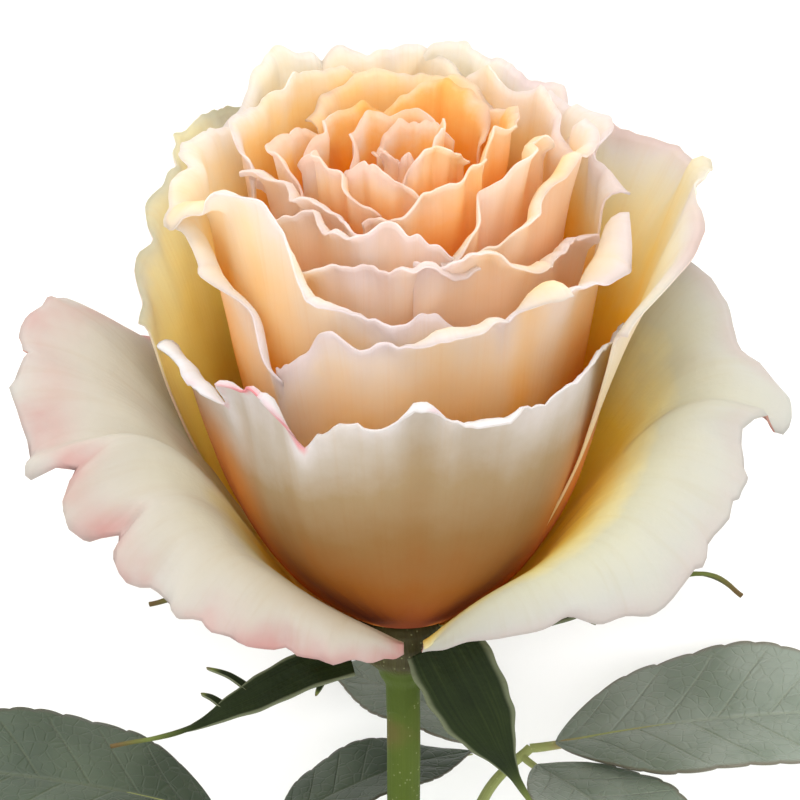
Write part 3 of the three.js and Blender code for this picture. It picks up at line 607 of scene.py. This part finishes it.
def petalPoint(petal, column, side, rise):
    points, arc, seed = column["points"], column["arc"], column["seed"]
    along = min(rise / column["share"], 1) * column["start"]
    radius, height = cubic(points, along)
    slopeR, slopeZ = cubicSlope(points, min(along, 0.98))
    length = math.hypot(slopeR, slopeZ)
    outR, outZ = slopeZ / length, -slopeR / length
    upR, upZ = slopeR / length, slopeZ / length
    claw = petalBuild["claw"] + (1 - petalBuild["claw"]) * smooth(0, petalBuild["clawRise"], rise)
    centre, spread = petal["fan"]
    azimuth = math.radians(centre + spread * side * claw + petal["tuck"] * smooth(0.6, 1, side))
    if rise > column["share"]:
        # round the rolled rim
        turn = column["angle"] * (rise - column["share"]) / (1 - column["share"])
        climb = column["radius"] * math.sin(turn)
        lean = column["radius"] * (1 - math.cos(turn))
        radius += upR * climb + outR * lean
        height += upZ * climb + outZ * lean
    # how close a point is to the rim, and to the free ends of the sides
    rim = smooth(petal["ruffleFrom"], 1, rise)
    sides = smooth(0.7, 1, abs(side)) * smooth(0.3, 0.75, rise)
    free = 1 - (1 - rim) * (1 - petal["sideFree"] * sides)
    wave = (math.sin(petal["waves"] * side * math.pi / 2 + seed)
            + 0.5 * math.sin(0.93 * petal["waves"] * side * math.pi + 2.3 * seed + 1)
            + 0.6 * wander(arc * 1.6, rise, seed + 21)) / 1.5
    out = petal["curl"] * free * free + petal["ruffle"] * wave * free ** 2.4
    edge = smooth(0.88, 1, rise)
    crimp = wander(arc * 3.4, rise * 2, seed + 5)
    out += 0.9 * petal["fine"] * crimp * edge * edge
    for depth, across, up, offset, begin, whole in petalWrinkles:
        wrinkle = wander(arc * across, rise * up, seed + offset)
        out += depth * wrinkle * smooth(begin, whole, rise)
    out += column["push"] * free * free
    for place, width, depth, begin in petal["folds"]:
        out += depth * hill(side, place, width) * smooth(begin, 1, rise)
    lift = (petal["jag"] * wander(arc * 2.4, 3.3, seed)
            + 0.7 * wander(arc * 7, 8.1, seed)) * smooth(0.86, 1, rise)
    lift += column["lift"] * rim
    radius = max(radius + (outR * out + upR * lift), 0.3)
    height += outZ * out + upZ * lift
    return Vector((radius * math.cos(azimuth), radius * math.sin(azimuth), height))


def makePetal(node, petal, order, slot):
    bm = newShape()
    bmesh.ops.create_grid(bm, x_segments=petalBuild["acrossSteps"],
                          y_segments=petalBuild["alongSteps"], size=1, calc_uvs=True)
    columns = {}
    for vert in bm.verts:
        side, rise = vert.co.x, (vert.co.y + 1) / 2
        key = round(side, 4)
        if key not in columns:
            columns[key] = columnOf(petal, order, side)
        vert.co = petalPoint(petal, columns[key], side, rise ** petalBuild["rowBias"])
    toTable(bm, petalBuild["room"])
    skins = [petalMats[petal["outer"]], petalMats[petal["inner"]]]
    addWall(finishPiece(pieceName(node), bm, skins, node, slot), petalBuild["thickness"], inside=1)


def makeBloom():
    # each whorl's petals, look and slot, and what its petals share
    whorls = [(guards, "guard", "guard_petal", {}), (cups, "cup", "cup_petal", {}),
              (middle, "middle", "cup_petal", {}), (inner, "inner", "heart_petal", {}),
              (heart, "heart", "heart_petal", {"ruffle": 1.0, "rollRadius": 1.5})]
    last = sum(len(petals) for petals, *rest in whorls) - 1
    count = 0
    for petals, look, slot, shared in whorls:
        skins = {"outer": look + "Outer", "inner": look + "Inner"}
        for name, petal in petals.items():
            petal = {**petalDefaults, **skins, **shared, **petal}
            makePetal("petal_" + name, petal, count / last, slot)
            count += 1
    print("bloom has", count, "petals")


makeBloom()

# The green parts. A line is a list of (x, y, z) down the middle of a part.

stem = {
    "radius": 2.4, "cutRadius": 2.9,
    "line": [(0, 0, -5.4), (0, 0, -41.9), (-1.2, 0.8, -110), (1.6, 1.6, -183.4), (0, 2, -262)],
    "lineSteps": 160, "sides": 40, "rings": 420,
    "leafDrops": [58, 92, 150], "bareNode": 0.84,       # where it swells, in mm and as a share
    "swelling": 0.55, "swellingWidth": 0.008,
    "ridge": 0.05, "uneven": 0.12,
}
receptacle = {
    # (height, radius), from the top of the dome to inside the shaft
    "profile": [(4.0, 0.4), (3.6, 2.6), (2.4, 5.0), (1.0, 6.5), (0.0, 7.0), (-1.8, 7.0),
                (-4.5, 6.3), (-7.6, 3.5), (-10.0, 2.5), (-14.0, 2.42)],
    "sides": 40, "rings": 60, "ridge": 0.03,
}
prickles = {
    "places": [(0.3, 335), (0.38, 200), (0.52, 250), (0.6, 15), (0.7, 185), (0.77, 300),
               (0.86, 220), (0.92, 350)],               # share of the stem, azimuth
    "reach": 5.0, "base": 1.7, "flat": 0.55,
    # out from the stem's line, and as a share of the reach, and down the stem
    "hook": [(1.6, 0.0, 0.0), (2.4, 0.3, 0.0), (2.3, 0.65, 0.5), (2.0, 1.0, 1.6)],
    "sides": 14, "rings": 16,
}
sepalBuild = {"thickness": 0.45, "bladeSteps": (14, 90), "lobeSteps": (4, 26), "lobeFold": 0.2}
# lobes lists (share of the midrib, side, length)
sepals = {
    "front_right": {"facing": (-0.25, -1, 0.35), "width": 13.5, "fold": 0.22, "lobes": [],
        "midrib": [(5.5, -8.6, 0.5), (8.6, -10.4, -5), (11.8, -10.8, -11.5), (15.6, -10.4, -19),
            (21, -9, -29)]},
    "front_left": {"facing": (0.2, -0.75, 0.8), "width": 6.6, "fold": 0.35,
        "lobes": [(0.4, 1, 8), (0.52, 1, 4.5), (0.12, -1, 3)],
        "midrib": [(-7.5, -6, -3.5), (-14, -7, -5), (-23, -7.5, -9.5), (-32, -6.5, -14.5),
            (-42.5, -5, -17.6)]},
    "right": {"facing": (0, -0.2, 1), "width": 8, "fold": 0.3, "lobes": [(0.4, 1, 4)],
        "midrib": [(7.6, 3, -3), (18, 7, -3), (32, 10, 0), (44, 12, 2.6), (50, 13, -1.4)]},
    "back_left": {"facing": (0, -0.2, 1), "width": 8, "fold": 0.3,
        "lobes": [(0.4, 1, 4), (0.45, -1, 3.5)],
        "midrib": [(-7, 5, -3), (-16, 9, -2.5), (-28, 12, -0.6), (-37.5, 14, -3.2)]},
    "back": {"facing": (0, 0.3, 1), "width": 9, "fold": 0.3, "lobes": [],
        "midrib": [(0, 8.6, -3), (2, 15, -3.5), (3.5, 21, -6.5), (4.5, 23.5, -10.5),
            (5.2, 24.5, -15.5)]},
}
leafBuild = {
    "leafletLength": 60.0, "leafletWidth": 28.0, "petiole": 1.0, "rib": 0.62,
    "thickness": 0.32, "fold": 0.14,
    "bladeSteps": (34, 150), "stalkSteps": (16, 60), "ribSteps": (10, 60),     # across, along
    "teeth": 13, "toothDepth": 0.035,
    "veins": 7.0, "veinSlant": 1.3, "quilt": 0.26, "curl": 1.1,
}
# leaflets lists (share of the stalk, direction, facing, size, how far its tip droops)
leaves = {
    "upper_right": {"stalk": [(0, 0, -58), (7, 4, -44), (12.5, 8, -31), (19, 12, -25.5)],
        "leaflets": [(1, (56, 3, 6), (0, -0.3, 1), 1, 3),
            (0.96, (16, -22, -4), (0.1, -0.2, 1), 0.75, 2),
            (0.94, (-17, 9, 6), (0.2, -0.3, 1), 0.55, 2)]},
    # this leaf's skin is the leaf's own colours darkened as painted shade, for the way light falls
    # on it
    "upper_left": {"skin": "leafDark",
        "stalk": [(0, 0, -92), (-8, 2, -68), (-17, 4, -45), (-24, 5, -34)],
        "leaflets": [(1, (-56, 6, 8), (0, -0.3, 1), 0.95, 3),
            (0.96, (-16, -24, -3), (-0.1, -0.2, 1), 0.75, 2),
            (0.94, (27, 14, 8), (-0.1, -0.05, 1), 0.62, 3)]},
    "lower_right": {"stalk": [(0, 0, -150), (12, 5, -132), (24, 10, -118), (38, 14, -107)],
        "leaflets": [(1, (30, 3, 30), (0, -1, 0.1), 0.95, 2),
            (0.95, (34, 2, -20), (0.1, -1, 0), 0.78, 2),
            (0.93, (-12, 3, 34), (0, -1, 0.1), 0.78, 2), (0.55, (26, 3, -28), (0.1, -1, 0), 0.6, 1),
            (0.53, (-4, 3, 32), (0, -1, 0.1), 0.55, 1)]},
}
depthSlope = (toRow.to_3x3() @ Vector((0, 1, 0))).z / mm    # rise on the table for 1 mm to the back


def raised(point, room=1.4):
    # a point that would be under the table comes up to just above it
    point = Vector(point)
    short = room * mm - (toRow @ point).z
    if short > 0:
        point.y += short / mm / depthSlope
    return point


def evenLine(points, count=64, fineSteps=400):
    # a smooth line through points, as count + 1 points the same distance apart
    points = [tuple(p) for p in points]
    fine = [Vector(spline(points, k / fineSteps)) for k in range(fineSteps + 1)]
    lengths = [0.0]
    for p, q in zip(fine, fine[1:]):
        lengths.append(lengths[-1] + (q - p).length)
    line, k = [], 0
    for step in range(count + 1):
        want = lengths[-1] * step / count
        while k < fineSteps - 1 and lengths[k + 1] < want:
            k += 1
        span = max(lengths[k + 1] - lengths[k], 1e-9)
        line.append(fine[k].lerp(fine[k + 1], (want - lengths[k]) / span))
    return line


def onLine(line, share):
    # the point at a share of an even line, and the line's direction there
    place = min(max(share, 0.0), 0.99999) * (len(line) - 1)
    i = int(place)
    point = line[i].lerp(line[i + 1], place - i)
    before, after = line[max(i - 1, 0)], line[min(i + 2, len(line) - 1)]
    return point, (after - before).normalized()


def gridAlong(bm, line, across, along):
    # a new grid's corners, each with -1..1 across, 0..1 along, and the line's point and direction
    made = bmesh.ops.create_grid(bm, x_segments=across, y_segments=along, size=1, calc_uvs=True)
    for vert in made["verts"]:
        share = (vert.co.y + 1) / 2
        yield vert, vert.co.x, share, *onLine(line, share)


def addTube(bm, line, radiusAt, sides, rings, first=Vector((1, 0, 0)), endFinish=0):
    # a grid wrapped round the line, its seam merged and its ends closed
    made = []
    for vert, x, share, point, tangent in gridAlong(bm, line, sides, rings):
        turn = math.pi * (x + 1)
        side = (first - tangent * first.dot(tangent)).normalized()
        other = tangent.cross(side)
        radius = radiusAt(share, turn)
        vert.co = point + side * radius * math.cos(turn) + other * radius * math.sin(turn)
        made.append(vert)
    bmesh.ops.remove_doubles(bm, verts=made, dist=0.0005)
    ends = {edge for vert in made if vert.is_valid for edge in vert.link_edges if edge.is_boundary}
    caps = bmesh.ops.holes_fill(bm, edges=list(ends), sides=sides + 2)["faces"]
    for edge in ends:
        edge.smooth = False
    for cap in caps:
        cap.material_index = endFinish
    bmesh.ops.triangulate(bm, faces=caps)


def addBlade(bm, line, outline, facing, fold, relief, steps):
    # a flat blade either side of the line, folded along it
    facing = Vector(facing).normalized()
    for vert, side, share, point, tangent in gridAlong(bm, line, *steps):
        across = tangent.cross(facing).normalized()
        up = across.cross(tangent)
        width = side * outline(share, side)
        vert.co = point + across * width + up * (fold * abs(width) + relief(share, side))


stemLine = evenLine(stem["line"], stem["lineSteps"])


def makeShaft():
    # shallow ridges, and a swelling at each place where a leaf leaves it
    swellings = [drop / pose["stemDrop"] for drop in stem["leafDrops"]] + [stem["bareNode"]]

    def radiusAt(share, turn):
        radius = mixed(stem["radius"], stem["cutRadius"], share)
        uneven = wander(share * 14, math.cos(turn), math.sin(turn))
        radius += stem["ridge"] * math.sin(5 * turn + 3 * share) + stem["uneven"] * uneven
        for place in swellings:
            radius += stem["swelling"] * hill(share, place, stem["swellingWidth"])
        return radius
    bm = newShape()
    addTube(bm, stemLine, radiusAt, stem["sides"], stem["rings"], endFinish=1)
    toTable(bm)
    finishPiece("stemShaft", bm, [greenMats["stem"], greenMats["cutEnd"]], "stem", "stem")


def makeReceptacle():
    profile = receptacle["profile"]
    top, bottom = profile[0][0], profile[-1][0]

    def radiusAt(share, turn):
        height = mixed(top, bottom, share)
        for (z0, r0), (z1, r1) in zip(profile, profile[1:]):
            if z1 <= height <= z0:
                return (mixed(r0, r1, smooth(z0, z1, height))
                        * (1 + receptacle["ridge"] * math.sin(5 * turn)))
        return profile[-1][1]
    bm = newShape()
    axis = evenLine([(0, 0, top), (0, 0, bottom)], receptacle["rings"])
    addTube(bm, axis, radiusAt, receptacle["sides"], receptacle["rings"])
    bmesh.ops.smooth_vert(bm, verts=bm.verts, factor=0.5,
                          use_axis_x=True, use_axis_y=True, use_axis_z=True)
    toTable(bm)
    finishPiece("receptacle", bm, [greenMats["calyx"]], "stem", "stem")


def makePrickles():
    # hooked down the stem from a long foot
    def radiusAt(share, turn):
        flat = mixed(1.0, prickles["flat"], abs(math.sin(turn)))
        return max(0.05, prickles["base"] * (1 - share) ** 1.4 * flat + 0.08)
    bm = newShape()
    for share, azimuth in prickles["places"]:
        place, tangent = onLine(stemLine, share)
        turn = math.radians(azimuth)
        out = Vector((math.cos(turn), math.sin(turn), 0))
        hook = [place + out * (start + prickles["reach"] * reach) + tangent * down
                for start, reach, down in prickles["hook"]]
        addTube(bm, evenLine(hook, 24), radiusAt, prickles["sides"], prickles["rings"],
                first=tangent)
    toTable(bm)
    finishPiece("prickles", bm, [greenMats["prickle"]], "stem", "stem")


def makeSepal(node, sepal):
    half = sepal["width"] / 2

    def outline(share, side):
        body = math.sin(math.pi * (0.3 + 0.7 * min(1, share * 1.08))) ** 0.9 * (1 - 0.55 * share)
        tail = 0.45 * (1 - share) + 0.12
        ragged = 1 + 0.025 * math.sin(share * 45 + 4 * side) * abs(side) ** 4
        return max(half * body * (1 - smooth(0.35, 0.8, share) * 0.75), tail) * ragged

    def relief(share, side):
        return 0.25 * math.cos(3 * side) + 0.3 * wander(share * 9, side, 4)
    line = evenLine(sepal["midrib"])
    bm = newShape()
    addBlade(bm, line, outline, sepal["facing"], sepal["fold"], relief, sepalBuild["bladeSteps"])
    facing = Vector(sepal["facing"]).normalized()
    for share, side, length in sepal["lobes"]:
        root, tangent = onLine(line, share)
        across = tangent.cross(facing).normalized() * side
        up = across.cross(tangent) * side
        start = root + across * outline(share, side) * 0.55
        ends = [start, start + across * length * 0.4 + tangent * length * 0.25 + up * 0.3,
                start + across * length * 0.75 + tangent * length * 0.6 - up * 0.4]
        addBlade(bm, evenLine(ends), lambda share, side: 0.55 * (1 - share) ** 0.6 + 0.08, facing,
                 sepalBuild["lobeFold"], lambda share, side: 0.0, sepalBuild["lobeSteps"])
    toTable(bm)
    piece = finishPiece(pieceName(node), bm, [greenMats["sepal"]], node, "sepal")
    addWall(piece, sepalBuild["thickness"])


def teethAt(share, side):
    # the saw edge of a leaflet: its teeth point to the tip
    saw = (share * leafBuild["teeth"] + 0.3 * math.sin(share * 9)) % 1.0
    scallop = mixed(math.sin(math.pi * saw) ** 0.6, saw ** 1.5, 0.45)
    return leafBuild["toothDepth"] * (scallop - 0.4) * abs(side) ** 5 * smooth(0.05, 0.25, share)


def makeLeaf(node, leaf, seed):
    start = onLine(stemLine, -leaf["stalk"][0][2] / pose["stemDrop"])[0]
    line = evenLine([start] + [raised(p) for p in leaf["stalk"][1:]])
    stalk, blades = newShape(), newShape()
    addTube(stalk, line, lambda share, turn:
            leafBuild["petiole"] * (1.5 - 0.4 * smooth(0, 0.08, share) - 0.35 * share),
            *leafBuild["stalkSteps"])
    for number, (share, toward, facing, size, droop) in enumerate(leaf["leaflets"]):
        joint = onLine(line, share)[0]
        toward, facing = Vector(toward).normalized(), Vector(facing).normalized()
        length = leafBuild["leafletLength"] * size
        wide = leafBuild["leafletWidth"] / 2 * size
        wave = 1.3 * (seed + number)
        midrib = [raised(joint + toward * 4), raised(joint + toward * 0.35 * length + facing),
                  raised(joint + toward * 0.7 * length),
                  raised(joint + toward * length - facing * droop)]
        addTube(stalk, evenLine([joint] + midrib), lambda share, turn:
                leafBuild["rib"] * (1 - share) ** 0.8 * size + 0.1, *leafBuild["ribSteps"])

        def outline(share, side):
            body = math.sin(math.pi * share ** 0.88) ** 0.85
            return 0.2 + wide * body * (1 + teethAt(share, side) * 1.6)

        def relief(share, side):
            half = 1 if side > 0 else 0
            veins = (share * leafBuild["veins"] - abs(side) * leafBuild["veinSlant"]
                     + 0.5 * half) % 1.0
            quilt = (leafBuild["quilt"] * size * math.sin(math.pi * veins) ** 0.7
                     * smooth(1, 0.7, abs(side)))
            curl = (leafBuild["curl"] * math.sin(share * 11 + wave + 1.5 * half)
                    * side * side * size)
            return quilt * smooth(0, 0.2, abs(side)) + curl * smooth(0.1, 0.4, share) + 0.35
        addBlade(blades, evenLine(midrib), outline, facing, leafBuild["fold"], relief,
                 leafBuild["bladeSteps"])
    toTable(stalk)
    toTable(blades)
    name = pieceName(node)
    finishPiece(name + "Stalk", stalk, [greenMats["petiole"]], node, "leaf")
    skins = [greenMats[leaf.get("skin", "leaf")], greenMats["leafUnder"]]
    addWall(finishPiece(name, blades, skins, node, "leaf"), leafBuild["thickness"], inside=1)


# scale draws the fibres out; fade is where along the piece its colour turns into another
greenLooks = {
    "stem": {
        "stops": [(0.25, 0.038, 0.06, 0.003), (0.5, 0.058, 0.088, 0.006),
            (0.75, 0.095, 0.13, 0.018)],
        "scale": (240, 4, 1), "tint": (0.14, 0.06, 0.03), "tintAmount": 0.35, "rough": 0.52,
        "bump": 0.25},
    "petiole": {
        "stops": [(0.25, 0.17, 0.2, 0.06), (0.5, 0.24, 0.27, 0.09), (0.8, 0.33, 0.33, 0.14)],
        "scale": (60, 3, 1), "tint": (0.25, 0.1, 0.06), "tintAmount": 0.5, "rough": 0.5,
        "bump": 0.25},
    "prickle": {
        "stops": [(0.2, 0.3, 0.26, 0.1), (0.6, 0.36, 0.16, 0.08), (1, 0.2, 0.05, 0.03)],
        "scale": (20, 2, 1), "tint": (0.3, 0.06, 0.04), "tintAmount": 0.5, "rough": 0.4,
        "bump": 0.15},
    "calyx": {
        "stops": [(0.2, 0.03, 0.022, 0.006), (0.5, 0.05, 0.045, 0.012), (0.8, 0.09, 0.1, 0.03)],
        "scale": (90, 6, 1), "tint": (0.1, 0.035, 0.015), "tintAmount": 0.6, "rough": 0.55,
        "bump": 0.3, "fade": (0.5, 0.66, (0.055, 0.085, 0.006))},
    "cutEnd": {
        "stops": [(0.2, 0.42, 0.44, 0.2), (0.5, 0.56, 0.56, 0.32), (0.8, 0.66, 0.64, 0.42)],
        "scale": (4, 4, 1), "tint": (0.3, 0.24, 0.12), "tintAmount": 0.5, "rough": 0.6,
        "bump": 0.3},
}


def fibreMaterial(name, look):
    mat, shader = newMaterial(name)
    at = surface(mat.node_tree)
    fibres = fibrous(at["uv"], look["scale"], 4.0)
    patches = noisy(at["place"], 90.0, 4.0)
    pores = cells(at["place"], 1100.0)
    colour = ramp(total((fibres, 0.55), (patches, 0.45)), look["stops"])
    tinted = times(band(patches, 0.55, 0.75), look["tintAmount"])
    colour = blend(tinted, colour, look["tint"])
    specks = times(band(pores, 0.22, 0.05), 0.35)
    colour = blend(specks, colour, (0.42, 0.44, 0.22))
    if "fade" in look:
        low, high, far = look["fade"]
        colour = blend(band(at["along"], low, high), colour, far)
    dress(shader, colour, total((fibres, 1), (pores, 0.4)), (look["bump"], 0.0006), patches,
          (look["rough"] - 0.08, look["rough"] + 0.14))
    setInputs(shader, {"Specular IOR Level": 0.18})
    return mat


leafLooks = {
    "leaf": {
        "deep": (0.12, 0.155, 0.11), "pale": (0.19, 0.225, 0.18), "vein": (0.21, 0.24, 0.17),
        "veinAmount": 0.4, "rough": 0.38, "edge": (0.11, 0.07, 0.035)},
    # The leaf's own colours made darker as painted shade, for the leaf that shows darker by the way
    # light falls on it. It is the same leaf, not a darker one.
    "leafDark": {
        "deep": (0.03, 0.05, 0.025), "pale": (0.055, 0.08, 0.045), "vein": (0.08, 0.1, 0.05),
        "veinAmount": 0.4, "rough": 0.5, "edge": (0.06, 0.04, 0.02)},
    "leafUnder": {
        "deep": (0.13, 0.17, 0.11), "pale": (0.19, 0.23, 0.16), "vein": (0.26, 0.29, 0.18),
        "veinAmount": 0.6, "rough": 0.6, "edge": (0.14, 0.1, 0.06)},
}


def leafMaterial(name, look):
    mat, shader = newMaterial(name)
    at = surface(mat.node_tree)
    patches = noisy(at["place"], 70.0, 4.0)
    signed = swing(at["across"], 2.0)
    side = maths("ABSOLUTE", signed)
    # side veins leave the midrib in turn and bend to the tip, as the blade's own quilting does
    half = times(maths("GREATER_THAN", signed, 0.0), 0.5)
    phase = total((at["along"], leafBuild["veins"]), (half, 1), (side, -leafBuild["veinSlant"]),
                  (swing(patches, 0.12), 1))
    fromVein = fromMiddle(maths("FRACT", phase))
    sideVein = times(band(fromVein, 0.44, 0.5), band(side, 1.0, 0.75))
    vein = maths("MAXIMUM", sideVein, band(side, 0.05, 0.015))
    net = band(cells(at["place"], 520.0, "DISTANCE_TO_EDGE"), 0.10, 0.0)
    colour = blend(band(patches, 0.35, 0.65), look["deep"], look["pale"])
    colour = blend(times(net, 0.10), colour, look["vein"])
    colour = blend(times(vein, look["veinAmount"]), colour, look["vein"])
    colour = blend(times(band(side, 0.93, 1.0), 0.6), colour, look["edge"])
    height = total((patches, 0.5), (vein, -0.7), (net, -0.25))
    dress(shader, colour, height, (0.55, 0.0005), patches,
          (look["rough"] - 0.06, look["rough"] + 0.14), 0.12)
    setInputs(shader, {"Sheen Weight": 0.1})
    return mat


sepalLook = {
    "body": [(0.3, 0.006, 0.011, 0.002), (0.55, 0.012, 0.020, 0.004), (0.8, 0.028, 0.040, 0.010)],
    "tip": [(0.6, 0.03, 0.045, 0.01), (0.85, 0.13, 0.16, 0.04), (0.97, 0.12, 0.08, 0.03)],
    "tipBand": (0.6, 0.85), "edge": (0.20, 0.22, 0.13), "rough": (0.5, 0.75), "specular": 0.12,
}


def sepalMaterial(look):
    mat, shader = newMaterial("sepalSkin")
    at = surface(mat.node_tree)
    patches = noisy(at["place"], 160.0, 4.0)
    fibres = fibrous(at["uv"], (26.0, 2.0, 1.0), 3.0)
    hairs = cells(at["place"], 1500.0)
    side = times(fromMiddle(at["across"]), 2.0)
    body = ramp(total((fibres, 0.6), (patches, 0.4)), look["body"])
    colour = blend(band(at["along"], *look["tipBand"]), body,
                   ramp(at["along"], look["tip"]))
    colour = blend(times(band(side, 0.82, 0.98), 0.6), colour, look["edge"])
    dress(shader, colour, total((fibres, 1), (hairs, 0.5)), (0.4, 0.0005), patches, look["rough"])
    setInputs(shader, {"Specular IOR Level": look["specular"]})
    return mat


greenMats = {name: fibreMaterial(name + "Skin", look) for name, look in greenLooks.items()}
greenMats.update({name: leafMaterial(name + "Skin", look) for name, look in leafLooks.items()})
greenMats["sepal"] = sepalMaterial(sepalLook)
makeShaft()
makeReceptacle()
makePrickles()
for name, sepal in sepals.items():
    makeSepal("sepal_" + name, sepal)
for count, (name, leaf) in enumerate(leaves.items()):
    makeLeaf("leaf_" + name, leaf, count * 3 + 1)
print("stem, sepals and leaves ready")

# Stage, light and camera

view = {
    "elevation": 20.0,          # above the upright flower's own horizon
    "distance": 700.0,
    "frameWidth": 114.3,        # what the view spans at the flower
    "aim": (-0.43, 0.0, 34.2),
    "sensor": 36, "clipStart": 0.01,
}
studio = {
    "floorHalf": 2, "floor": {"Base Color": (0.93, 0.93, 0.92, 1), "Roughness": 0.9},
    "sky": {"Color": (1, 1, 1, 1), "Strength": 1.62},
    "sunStrength": 1.7, "sunSpread": 28,
    "sunFrom": (-0.02, -0.42, 0.9),     # as the upright flower stands
}


def makeCamera():
    rise = math.radians(view["elevation"])
    back = Vector((0, -math.cos(rise), math.sin(rise)))
    up = Vector((0, math.sin(rise), math.cos(rise)))
    turn = Matrix((Vector((1, 0, 0)), up, back)).transposed().to_4x4()
    place = Matrix.Translation((Vector(view["aim"]) + back * view["distance"]) * mm)
    flat = toRow @ Matrix.Scale(1 / mm, 4)
    data = bpy.data.cameras.new("camera")
    camera = addObject("camera", data)
    camera.matrix_world = flat @ place @ turn
    data.sensor_width = view["sensor"]
    data.lens = view["sensor"] * view["distance"] / view["frameWidth"]
    data.clip_start = view["clipStart"]
    bpy.context.scene.camera = camera


def makeStage():
    bm = bmesh.new()
    bmesh.ops.create_grid(bm, x_segments=1, y_segments=1, size=studio["floorHalf"])
    mat, shader = newMaterial("paleFloor")
    setInputs(shader, studio["floor"])
    addMesh("floor", bm, [mat])
    world = bpy.data.worlds.new("studio")
    world.use_nodes = True
    setInputs(world.node_tree.nodes["Background"], studio["sky"])
    bpy.context.scene.world = world
    sun = bpy.data.lights.new("key", "SUN")
    sun.energy = studio["sunStrength"]
    sun.angle = math.radians(studio["sunSpread"])
    towards = (toRow.to_3x3() @ Vector(studio["sunFrom"])).normalized()
    addObject("key", sun).rotation_euler = towards.to_track_quat("Z", "Y").to_euler()
    bpy.context.scene.view_settings.view_transform = "Standard"


makeStage()
makeCamera()
print("stage, light and camera ready")
